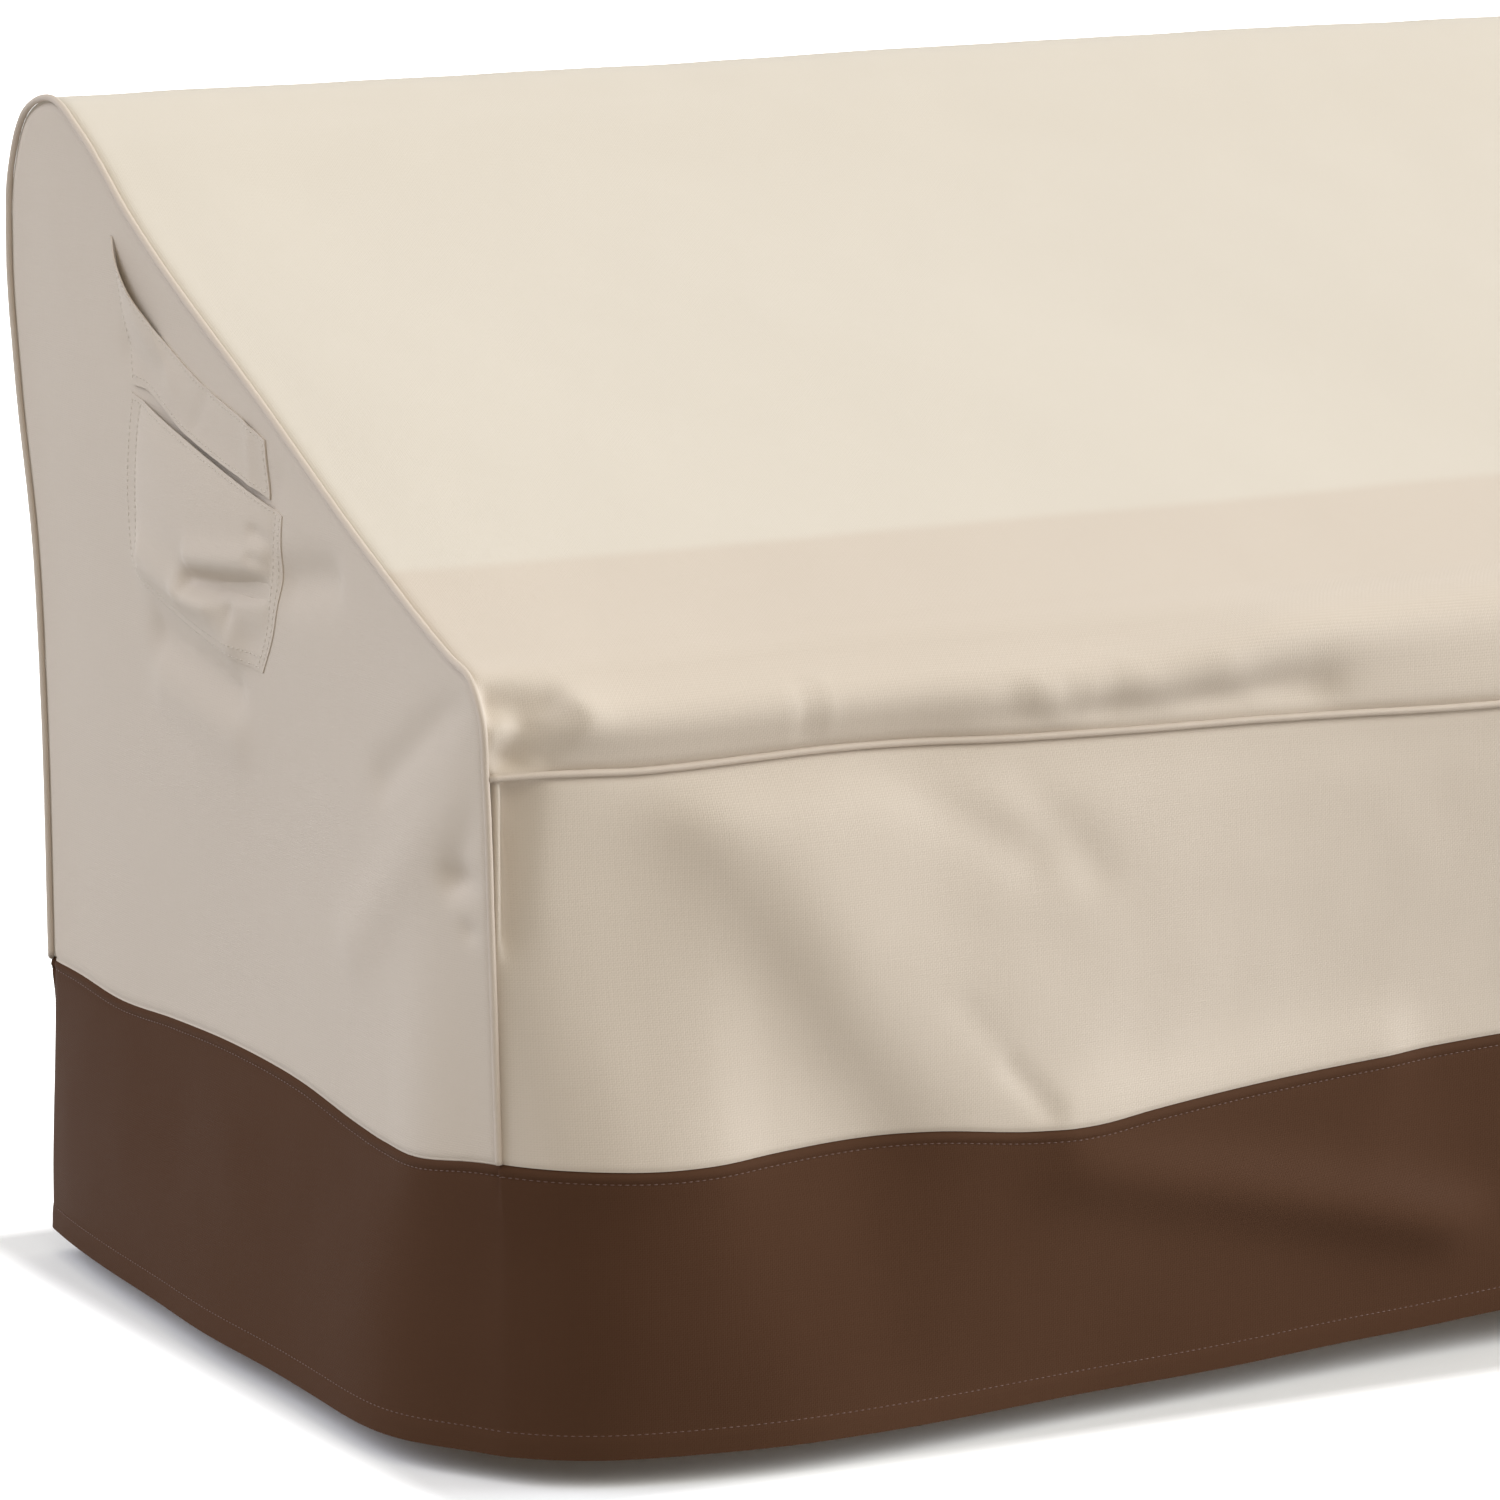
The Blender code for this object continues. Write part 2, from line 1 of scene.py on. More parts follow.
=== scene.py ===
"""Looks of a fitted outdoor cover of coated cloth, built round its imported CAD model.

Metres, +Z up, in the frame of the CAD. The cloth is worked out in cover coordinates, x from the
middle, y back from the front corner and z up from the hem, and place() moves it to the origin.
Every sheet is a grid of points on its middle surface, given its thickness by Solidify.
"""

import math

import bmesh
import bpy
import numpy as np
from mathutils import Matrix, Vector, noise


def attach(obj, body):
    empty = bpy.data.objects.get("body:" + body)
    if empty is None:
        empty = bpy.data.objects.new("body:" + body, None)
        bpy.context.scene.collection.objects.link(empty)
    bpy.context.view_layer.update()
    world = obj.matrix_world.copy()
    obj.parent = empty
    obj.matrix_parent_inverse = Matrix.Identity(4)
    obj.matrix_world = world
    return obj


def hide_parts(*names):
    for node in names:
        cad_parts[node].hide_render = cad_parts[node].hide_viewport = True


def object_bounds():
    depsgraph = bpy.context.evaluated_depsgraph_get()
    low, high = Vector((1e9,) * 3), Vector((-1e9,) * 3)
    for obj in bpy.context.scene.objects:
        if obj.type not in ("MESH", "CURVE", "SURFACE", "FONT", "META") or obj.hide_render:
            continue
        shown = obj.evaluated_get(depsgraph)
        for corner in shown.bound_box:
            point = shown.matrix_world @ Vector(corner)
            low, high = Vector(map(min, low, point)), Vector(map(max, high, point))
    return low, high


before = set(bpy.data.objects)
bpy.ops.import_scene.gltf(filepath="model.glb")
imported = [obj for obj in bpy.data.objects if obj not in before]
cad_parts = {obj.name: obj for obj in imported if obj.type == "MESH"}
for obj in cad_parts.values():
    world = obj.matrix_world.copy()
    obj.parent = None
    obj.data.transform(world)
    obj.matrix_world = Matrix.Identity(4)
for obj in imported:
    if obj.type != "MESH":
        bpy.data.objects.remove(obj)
CAD_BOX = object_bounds()

# ---- sizes that the CAD has too ----
WIDTH = 1.930  # between the two side pipings
GAP = 0.0004  # between sewn pieces
BAND_HIGH = 0.205  # brown band, from hem to seam
FRONT_SEAM_HIGH = 0.474
RIDGE_Y = 0.725
RIDGE_HIGH = 0.862
INNER_FACE = 0.002  # the origin is this far under the top of the ridge
HALF = WIDTH / 2
EDGE = 0.0014  # a sheet goes on under its piping, to this far from its middle
ORIGIN = np.array([0.0, RIDGE_Y, RIDGE_HIGH - INNER_FACE])

# ---- sizes of the finish ----
CLOTH = 0.0012  # thickness of a sheet, a little over that of coated cloth
STRAP_CLOTH = 0.0012
VENT_CLOTH = 0.0007
WELT = 0.0026  # radius of the piping, as far as it shows
WELT_PROUD = 0.0006  # how far its middle stands off the seam
WELT_UNEVEN = 0.05  # lumps in the piping, as a share of its radius
WELT_LUMP = 0.012  # and how long they are
TUCK = 0.0024  # how far a sheet turns in beside its piping
TUCK_RUN = 0.0050
SEAM_TUCK = 0.5 * TUCK  # and above the band's seam
SEAM_TUCK_RUN = 0.0020
BAND_TUCK_RUN = 0.0022  # and below it
HEM_HIGH = 0.019  # turned-up hem
HEM_THICK = 0.0008
HEM_END = 0.0006  # how softly its thickness ends
HEM_STITCHES_HIGH = HEM_HIGH - 0.0015
FELL_HIGH = 0.008  # topstitching below the band's seam
FELL_THICK = 0.0011
STITCH_DIP = 0.0007  # how far a row of stitches pulls the cloth in
STITCH_DIP_RUN = 0.0022
STITCH_LONG = 0.0036
STITCH_PITCH = 0.0050
STITCH_WIDE = 0.0009
YARN_DRAWN = 0.0016  # between yarns; really 0.55 mm, which would be too fine to show
SLUB_ACROSS = 500.0  # noise scale across a yarn, for slubs 2 mm wide
SLUB_ALONG = 45.0  # and along it, for slubs 22 mm long
SLUB_TONE = 0.35  # how much the slubs show in the tone
SLUB_DEEP = 0.0003
WEAVE_DEEP = 0.00012
TONE_SCALE = 2.6  # noise scale of uneven dyeing and sun, for patches 0.4 m wide
PLY_SCALE = 900.0  # noise scale of a thread's twist, about 1 mm long
PLY_DEEP = 0.0001

# ---- how finely the sheets and the piping are divided ----
MAIN_ROWS, MAIN_COLUMNS = 170, 230
FRONT_ROWS, FRONT_COLUMNS = 56, 330
SIDE_ROWS, SIDE_COLUMNS = 120, 190
BAND_ROWS = 36
BAND_FRONT_COLUMNS, BAND_SIDE_COLUMNS, BAND_BACK_COLUMNS = 220, 90, 130
STRAP_ROWS, STRAP_COLUMNS = 26, 90
PATCH_ROWS, PATCH_COLUMNS = 70, 90
SIDE_WELT_STEPS, FRONT_WELT_STEPS, WELT_SIDES = 340, 300, 12
OUTLINE_STEPS = 400  # for finding how near a point is to the outline

# ---- unevenness of the cloth ----
# how wide its swells are, how high, and a shift of the noise
MAIN_UNEVEN = ((0.22, 0.0022, 0.0), (0.07, 0.0008, 0.0))
FRONT_UNEVEN = ((0.15, 0.0020, 0.0), (0.05, 0.0006, 0.0))
SIDE_UNEVEN = ((0.16, 0.0016, 0.0),)
BAND_UNEVEN = ((0.13, 0.0022, 3.0), (0.05, 0.0007, 0.0))
# how soon it begins beside each seam
MAIN_CALM = (0.06, 0.05, 0.05)  # front seam, band, side pipings
FRONT_CALM = (0.03, 0.03, 0.04)  # the same
SIDE_CALM = 0.05
BAND_CALM = (0.05, 0.03)  # hem, seam

MM = 0.001  # the shapes' tables, with a row to each line, are in millimetres
# columns of FRONT, SIDE and BACK, after the place
HEM_OUT, HEM_UP, SEAM_OUT, SEAM_UP, TOP_OUT, TOP_UP = range(1, 7)
PROW, SLACK, PROW_UP = range(1, 4)  # columns of OVERHANG

# ---- the outline of a side, which is also the section of the main panel ----
OUTLINE = (
    # where, y, z, inset from the plane of the side
    ("band, front", 21, 205, 13),
    ("below the front seam", 20, 367, 8),
    ("front seam", 19, 474, 4),
    ("corner, below", 21, 516, 2),
    ("corner", 36, 539, 1),
    ("corner, above", 63, 549, 0),
    ("slope, low", 183, 598, 0),
    ("slope, middle", 355, 679, 0),
    ("slope, high", 594, 793, 0),
    ("ridge, front", 672, 841, 0),
    ("ridge", 725, 862, 0),
    ("ridge, back", 776, 846, 0),
    ("bulge, top", 803, 802, 0),
    ("bulge", 809, 742, 0),
    ("back, upper", 796, 643, 0),
    ("back, middle", 769, 525, 0),
    ("back, waist", 758, 405, 0),
    ("band, back", 752, 205, 0),
)

# ---- how the cloth stands out along the front, by distance from the left corner ----
FRONT = (
    # u, hem out, hem up, seam out, seam up, top out, top up
    (13, 0, 0, 0, 2, 0, 0),
    (35, 20, 0, 22, 1, 3, 0),
    (70, 42, 0, 42, -1, 7, -1),
    (110, 53, 0, 53, -3, 9, -3),
    (150, 61, 0, 56, -3, 10, -3),
    (200, 68, 0, 49, -1, 10, -2),
    (260, 68, 0, 43, 1, 10, -1),
    (320, 64, 0, 40, 1, 11, -2),
    (400, 56, 1, 41, -7, 18, -5),
    (450, 50, 1, 39, -8, 21, -6),
    (500, 47, 1, 34, -4, 23, -7),
    (580, 42, 2, 26, 1, 25, -8),
    (660, 34, 4, 21, 5, 27, -10),
    (750, 26, 5, 17, 8, 30, -13),
    (820, 22, 8, 15, 10, 32, -14),
    (965, 20, 8, 14, 9, 33, -15),
    (1100, 24, 6, 20, 4, 31, -14),
    (1250, 34, 3, 30, 1, 26, -10),
    (1400, 46, 1, 40, -4, 20, -7),
    (1550, 55, 0, 46, -2, 14, -4),
    (1700, 60, 0, 50, 2, 10, -2),
    (1810, 53, 0, 50, -2, 8, -2),
    (1860, 42, 0, 40, 0, 6, -1),
    (1895, 20, 0, 22, 1, 3, 0),
    (1917, 0, 0, 0, 2, 0, 0),
)

# how far the middle of the front stands out further, by distance from the left corner
FRONT_SWELL = (
    (13, 0),
    (40, -4),
    (80, -8),
    (120, -7),
    (160, -3),
    (200, 1),
    (250, 5),
    (300, 6),
    (400, 6),
    (550, 5),
    (750, 3),
    (965, 2),
    (1200, 0),
    (1917, 0),
)
# the big fold from the left corner: the cloth steps out across this line, to its right
FRONT_STEP = (0.128, 0.462, 0.305, 0.212)  # from u, from z, to u, to z
STEP_HIGH = 0.022
STEP_RUN = 0.034  # half the width of its slope
STEP_FALL = 0.250  # how slowly the step dies away again

# ---- along a side, by distance back; "out" is from the plane of the side ----
SIDE = (
    # y, hem out, hem up, seam out, seam up
    (21, -20, 0, -13, 2),
    (50, -3, 0, 0, 0),
    (85, 21, 0, 13, -4),
    (150, 32, 0, 12, -6),
    (200, 30, 0, 9, -4),
    (300, 27, 0, 5, 5),
    (410, 28, 0, 3, 8),
    (520, 21, 0, 3, 5),
    (620, 16, 0, 2, 0),
    (700, 9, 0, 1, 4),
    (752, 2, 0, 0, 5),
)

# ---- along the back, by distance from the left corner ----
BACK = (
    # u, hem out, hem up, seam out, seam up
    (0, 0, 0, 0, 5),
    (120, 14, 0, 6, 0),
    (320, 20, 0, 10, 3),
    (620, 14, 0, 6, -3),
    (965, 18, 0, 9, 2),
    (1280, 12, 0, 5, -2),
    (1600, 20, 0, 10, 4),
    (1810, 14, 0, 6, 0),
    (1930, 0, 0, 0, 5),
)

# ---- the cloth above the front seam: it stands out in a prow, and is slack above that ----
OVERHANG = (
    # u, prow, slack, height of the prow above the seam, along the cloth
    (0, 0, 0, 31),
    (30, 7.5, 2, 34),
    (60, 12, 3.5, 36),
    (100, 9, 4.5, 34),
    (240, 8, 5.5, 31),
    (380, 9, 5, 31),
    (450, 11, 4, 31),
    (500, 13, 2.5, 33),
    (550, 15, 1, 38),
    (620, 16, 0, 48),
    (700, 13, 0, 52),
    (800, 9, 0, 55),
    (965, 8, 1, 52),
    (1200, 8, 3, 45),
    (1360, 11, 5, 35),
    (1600, 10, 5.5, 31),
    (1780, 9, 4.5, 31),
    (1870, 7, 3.5, 31),
    (1900, 4, 2, 31),
    (1930, 0, 0, 31),
)
PROW_RUN = 0.018
SLACK_UP = 0.068  # height of the slack above the seam, along the cloth
SLACK_RUN = 0.022

# ---- folds: a soft trough (negative) or ridge from one end to the other ----
# what, from u, from z, to u, to z, half width, height, or as a table says
FRONT_FOLDS = (
    ("pinch above the band", 345, 290, 410, 212, 12, -1),
    ("end of the pinch", 378, 246, 412, 210, 8, -1.4),
    ("faint trough", 285, 468, 400, 390, 20, -3),
    ("fainter one", 404, 441, 453, 376, 18, -2),
    ("kick along the band's seam", 430, 200, 700, 215, 30, 6),
    ("middle, shallow", 930, 445, 1000, 230, 60, -6),
    ("right crest", 1780, 462, 1560, 225, 30, 9),
    ("right crest, broad side", 1735, 470, 1520, 240, 60, 7),
    ("right trough before it", 1845, 440, 1650, 220, 40, -6),
    ("right, faint", 1640, 460, 1380, 290, 35, -5),
)
FRONT_CORNER_FOLDS = (
    # close to the left piping, where the folds above are faded out
    ("valley beside the piping", 19, 476, 6, 370, 18, -18),
    ("wrinkle in it", 22, 468, 24, 440, 4, 3),
)
SIDE_FOLDS = (
    # in y and z
    ("pull from the corner", 49, 524, 160, 450, 16, -5),
    ("ridge under it", 40, 470, 200, 330, 26, 4),
    ("dent by the piping", 12, 403, 64, 396, 11, -11),
    ("second dent", 12, 368, 44, 364, 8, -7),
    ("hollow above the dent", 18, 455, 56, 412, 13, -5),
    ("hollow behind the strap", 580, 697, 527, 686, 14, -3),
    ("hollow in front of the patch", 312, 563, 250, 576, 18, -8),
    ("fall to the patch's mouth", 545, 670, 340, 620, 18, -2.5),
    ("swell behind the patch", 545, 545, 400, 510, 20, 8),
    ("hollow under the patch", 530, 492, 400, 472, 16, -6),
    ("swell under that", 520, 460, 400, 440, 22, 4),
    ("pull from the strap", 325, 640, 262, 618, 10, -3),
)
MAIN_FOLDS = (
    # in u and the length above the front seam
    ("deep tuck", 480, 8, 640, 12, 21, -9),
    ("tuck before it", 390, 12, 470, 10, 14, -3),
    ("dent, left", 398, 30, 404, 14, 8, -1.5),
    ("dent, middle", 444, 28, 450, 10, 8, -1.5),
    ("small fold", 418, 34, 432, 10, 7, 1.5),
    ("leaning fold", 496, 32, 530, 6, 11, 1.5),
    ("second leaning fold", 566, 34, 600, 6, 12, 1.5),
    ("tick, ridge", 247, 45, 250, 12, 4, 3),
    ("tick, trough", 240, 45, 243, 10, 4, -3),
    ("right tuck", 1330, 22, 1560, 22, 11, -5),
    ("right leaning fold", 1450, 30, 1418, 4, 9, 5),
    ("right dip", 1120, 58, 1320, 56, 24, -5),
    ("slope, shallow", 700, 500, 900, 250, 120, -3),
    ("slope, right", 1350, 560, 1600, 260, 120, -3),
)
MAIN_CORNER_FOLDS = (
    # close to a side piping, where the folds above are faded out
    ("under the corner", 12, 50, 48, 44, 14, -11),
    ("hollow under that", 34, 30, 24, 12, 14, -12),
    ("line down to the seam", 64, 36, 46, 11, 7, -3),
    ("right corner", 1918, 52, 1888, 48, 10, -5),
    ("line on the right", 1872, 36, 1900, 12, 6, -4),
)
BACK_FOLDS = (
    ("left, leaning", 180, 620, 330, 300, 70, -8),
    ("middle", 900, 640, 960, 300, 90, -7),
    ("right, leaning", 1720, 600, 1560, 290, 70, -8),
)
BAND_FOLDS = (
    ("ridge", 440, 172, 760, 84, 24, 13),
    ("right ridge", 1560, 170, 1200, 100, 30, 5),
)
CREASE_HIGH = 0.592  # the cloth is painted paler above this line across the slope, as painted light
CREASE_HALF = 0.003  # half the width of its edge

# ---- how the panels rise, and how soon folds begin beside the seams ----
CROWN = 0.004  # how far the main panel rises between its pipings
CROWN_RUN = 0.045
FOLD_RUN = 0.015  # where the main panel's folds begin, above the front seam
BACK_FOLD_RUN = 0.050  # and above the band, at the back
FRONT_FOLLOW = 0.060  # how far above the front seam the main panel follows its line
BACK_FOLLOW = 0.180  # and above the band, at the back
BELLY = 0.005  # how far a side panel rises inside its piping
BELLY_RUN = 0.080
FLARE_HIGH = 0.160  # how far above the band a side follows its seam outwards
CORNER_RUN = 0.025  # how soon a side, and the front's folds, leave their piping
CLOSE_RUN = 0.005  # how soon the folds of a corner do
SEAM_RUN = 0.030  # where the front's folds begin, below its seam
FRONT_BELLY = 1.2  # over 1, the front bellies out under its seam instead of sloping evenly
HEM_FRONT_Y = 0.028  # the hem at the front corners
HEM_BACK_Y = 0.757  # and at the back ones
BAND_BULGE = 0.003
BAND_CORNER_RUN = 0.040  # how soon the bulge starts on a side
BAND_ROUNDS = 8  # how many times the band's corners are smoothed
BAND_ROUND_RUN = 0.12  # below the seam, as a share of the band's height

# ---- the strap, on the side panel; "lift" is its middle surface off the panel's ----
STRAP = (
    # where, upper y, upper z, lower y, lower z, upper lift, lower lift
    ("back end", 616, 773, 573, 670, 1.4, 1.6),
    ("slot, top", 600, 757, 548, 668, 6, 2.4),
    ("slot, middle", 574, 737, 519, 659, 7.8, 3.4),
    ("slot, bottom", 545, 720, 488, 648, 5.2, 4.6),
    ("seam", 520, 706, 450, 639, 1.4, 5.2),
    ("middle", 457, 684, 406, 630, 1.3, 5),
    ("front fold", 389, 668, 371, 623, 1.3, 3.6),
    ("front end", 354, 658, 347, 617, 1.3, 1.4),
)
STRAP_FOLDS = (
    # in y and z
    ("soft crease", 450, 680, 468, 652, 6, -1),
    ("swell near the front end", 380, 664, 374, 624, 8, 1.5),
)
STRAP_STITCHES_DOWN = (0.07, 0.93)  # rows along its edges, as shares of its width
STRAP_STITCHES_IN = 0.12  # rows across its ends, in rows of its table

# ---- the patch under it, between its back and front edges ----
PATCH = (
    # where, back y, back z, front y, front z
    ("mouth", 576, 664, 326, 608),
    ("upper", 583, 625, 326, 585),
    ("middle", 586, 587, 328, 556),
    ("lower", 582, 550, 334, 524),
    ("bottom", 570, 530, 352, 493),
)
MOUTH_SAG = -0.0012  # how far the middle of the mouth hangs below a straight line
BOTTOM_SAG = 0.007  # and the middle of the bottom edge
PATCH_SEWN = 0.0010  # lift of the patch at its sewn edges
BACK_FLANGE = 0.075  # shares of the patch that are sewn flat
FRONT_FLANGE = 0.050
LOW_FLANGE = 0.090
PATCH_PUFF = 0.0095
PUFF_SQUARE = 0.6  # under 1, the puff rises sooner beside the flanges
MOUTH_SHARE = 0.65  # of the puff, at the mouth
PUFF_LOW = 0.62  # how far down the patch its puff is highest
PATCH_FOLDS = (
    # in y and z
    ("crease", 345, 553, 460, 543, 9, -10),
    ("swell above the crease", 350, 572, 450, 562, 12, 5),
    ("swell under the crease", 425, 530, 470, 532, 13, 5),
    ("hollow at the corner", 350, 503, 382, 500, 16, -12),
    ("tuck at the corner", 397, 530, 402, 500, 7, -4),
    ("pull at the front edge", 338, 588, 362, 592, 6, -3),
    ("pull under it", 338, 570, 358, 574, 5, -3),
)
PATCH_STITCHES_ACROSS = (0.015, 0.065, 0.960, 0.985)  # rows down it, from its back edge
PATCH_STITCHES_DOWN = (0.025, 0.920, 0.980)  # rows along it, from its mouth


# ---- curves and surfaces ----
def column(table, index):
    return MM * np.array([row[index] for row in table], float)


def smooth(at, knots, values):
    """A smooth curve through (knots, values), level past its ends."""
    at = np.clip(at, knots[0], knots[-1])
    step = np.diff(knots)
    slope = np.diff(values) / step
    inner = (step[1:] * slope[:-1] + step[:-1] * slope[1:]) / (step[1:] + step[:-1])
    tangent = np.concatenate([slope[:1], inner, slope[-1:]])
    k = np.clip(np.searchsorted(knots, at, side="right") - 1, 0, len(step) - 1)
    t = (at - knots[k]) / step[k]
    return (
        (1 + 2 * t) * (1 - t) ** 2 * values[k]
        + t * (1 - t) ** 2 * step[k] * tangent[k]
        + t**2 * (3 - 2 * t) * values[k + 1]
        + t**2 * (t - 1) * step[k] * tangent[k + 1]
    )


def look_up(table, at, index=1):
    return smooth(at, column(table, 0), column(table, index))


def folds(table, a, b):
    """Sum of the soft troughs and ridges of a table at the points (a, b)."""
    total = np.zeros(np.broadcast(a, b).shape)
    for _, *row in table:
        a0, b0, a1, b1, half_width, height = MM * np.array(row)
        long = np.hypot(a1 - a0, b1 - b0)
        ua, ub = (a1 - a0) / long, (b1 - b0) / long
        along = (a - a0) * ua + (b - b0) * ub
        across = (b - b0) * ua - (a - a0) * ub
        past = np.maximum(0, np.maximum(-along, along - long))
        total += height * np.exp(-((across / half_width) ** 2) - (past / half_width) ** 2)
    return total


def big_fold(u, z):
    """The step of the front across FRONT_STEP, which dies away to its right."""
    u0, z0, u1, z1 = FRONT_STEP
    across = ((z - z0) * (u1 - u0) - (u - u0) * (z1 - z0)) / math.hypot(u1 - u0, z1 - z0)
    rise = 0.5 * (1 + np.tanh(across / STEP_RUN))
    return STEP_HIGH * rise * np.exp(-np.maximum(across, 0) / STEP_FALL)


def run_in(distance, run):
    """0 at an edge, rising to 1 over about twice the run."""
    return 1 - np.exp(-((distance / run) ** 2))


def bump(distance, run):
    """1 on a line, falling to 0 over about twice the run."""
    return np.exp(-((distance / run) ** 2))


def spaced(start, end, count, denser):
    """count + 1 places from start to end, closer together round each (place, width, times)."""
    fine = np.linspace(start, end, 4001)
    weight = np.ones_like(fine)
    for place_at, width, times in denser:
        weight += times * bump(fine - place_at, width)
    total = np.concatenate([[0], np.cumsum((weight[1:] + weight[:-1]) / 2)])
    return np.interp(np.linspace(0, total[-1], count + 1), total, fine)


def uneven(points, size, shift=0.0):
    """Smooth noise of about -1 to 1 at points, with bumps about size apart."""
    flat = (points / size + shift).reshape(-1, 3)
    return np.array([noise.noise(p) for p in flat]).reshape(points.shape[:-1])


def unit(vectors):
    return vectors / np.linalg.norm(vectors, axis=-1, keepdims=True)


def lengths(points):
    """The way to each point along the lines that run down the first axis."""
    step = np.linalg.norm(np.diff(points, axis=0), axis=-1)
    return np.concatenate([np.zeros_like(step[:1]), np.cumsum(step, axis=0)])


def both_ends(width, times, start=0, end=1):
    """For spaced: closer together at both ends."""
    return (start, width, times), (end, width, times)


def swells(points, table):
    """Sum of the noises of a table of width, height and shift."""
    return sum(height * uneven(points, size, shift) for size, height, shift in table)


OUT_Y, OUT_Z, OUT_INSET = (column(OUTLINE, k) for k in (1, 2, 3))
KNOTS = lengths(np.stack([OUT_Y, OUT_Z], -1))


def line_of(where):
    return [row[0] for row in OUTLINE].index(where)


def outline(s):
    """Points (y, z), outward normals (y, z) and insets of the outline at lengths s."""
    y, z = smooth(s, KNOTS, OUT_Y), smooth(s, KNOTS, OUT_Z)
    step = 0.001
    low, high = np.maximum(s - step, 0), np.minimum(s + step, KNOTS[-1])
    dy = smooth(high, KNOTS, OUT_Y) - smooth(low, KNOTS, OUT_Y)
    dz = smooth(high, KNOTS, OUT_Z) - smooth(low, KNOTS, OUT_Z)
    size = np.hypot(dy, dz)
    return y, z, -dz / size, dy / size, smooth(s, KNOTS, OUT_INSET)


def corner_at(z):
    """y and inset of the front corner at heights z, up to the front seam."""
    end = line_of("front seam") + 1
    return smooth(z, OUT_Z[:end], OUT_Y[:end]), smooth(z, OUT_Z[:end], OUT_INSET[:end])


def columns_at(inset, shares):
    """x of the grid's columns, between corners drawn in by inset."""
    return np.multiply.outer(HALF - inset - EDGE, shares)


def front_y(x, z):
    """The front, between the band's seam and the front seam."""
    u = x + HALF
    seam = BAND_HIGH + look_up(FRONT, u, SEAM_UP)
    top = FRONT_SEAM_HIGH + look_up(FRONT, u, TOP_UP)
    share = np.clip((z - seam) / (top - seam), 0, 1) ** FRONT_BELLY
    out = (1 - share) * look_up(FRONT, u, SEAM_OUT) + share * look_up(FRONT, u, TOP_OUT)
    out = out + look_up(FRONT_SWELL, u) * np.sin(np.pi * share)
    side, below = np.minimum(u, WIDTH - u) - OUT_INSET[0], np.maximum(top - z, 0)
    fade = run_in(side, CORNER_RUN) * run_in(below, SEAM_RUN)
    close = run_in(side, CLOSE_RUN) * run_in(below, CLOSE_RUN)
    out = out + (folds(FRONT_FOLDS, u, z) + big_fold(u, z)) * fade
    out = out + folds(FRONT_CORNER_FOLDS, u, z) * close
    return corner_at(z)[0] - out


def from_outline(y, z):
    """How far the points (y, z) are from the outline, and its inset at the closest place."""
    oy, oz, _, _, inset = outline(np.linspace(0, KNOTS[-1], OUTLINE_STEPS))
    best = np.full(y.shape, np.inf)
    drawn_in = np.zeros(y.shape)
    for k in range(len(oy) - 1):
        dy, dz = oy[k + 1] - oy[k], oz[k + 1] - oz[k]
        t = np.clip(((y - oy[k]) * dy + (z - oz[k]) * dz) / (dy * dy + dz * dz), 0, 1)
        apart = np.hypot(y - oy[k] - t * dy, z - oz[k] - t * dz)
        nearer = apart < best
        best = np.where(nearer, apart, best)
        drawn_in = np.where(nearer, inset[k], drawn_in)
    return best, drawn_in


def side_out(y, z):
    """How far a side stands out of its plane."""
    distance, inset = from_outline(y, z)
    leaves = 1 - np.exp(-distance / CORNER_RUN)
    low = np.exp(-(((z - BAND_HIGH) / FLARE_HIGH) ** 2))
    out = look_up(SIDE, y, SEAM_OUT) * low + BELLY * run_in(distance, BELLY_RUN) * (1 - low)
    out = out + folds(SIDE_FOLDS, y, z) * run_in(distance, CORNER_RUN)
    spots = np.stack([np.zeros_like(y), y, z], -1)
    out = out + swells(spots, SIDE_UNEVEN) * run_in(distance, SIDE_CALM)
    tuck = TUCK * bump(distance - EDGE, TUCK_RUN)
    return out * leaves - inset * (1 - leaves) - tuck


def on_side(side, y, z, lift):
    return np.stack([side * (HALF + side_out(y, z) + lift), y, z], -1)


def side_seam(y):
    return BAND_HIGH + look_up(SIDE, y, SEAM_UP)


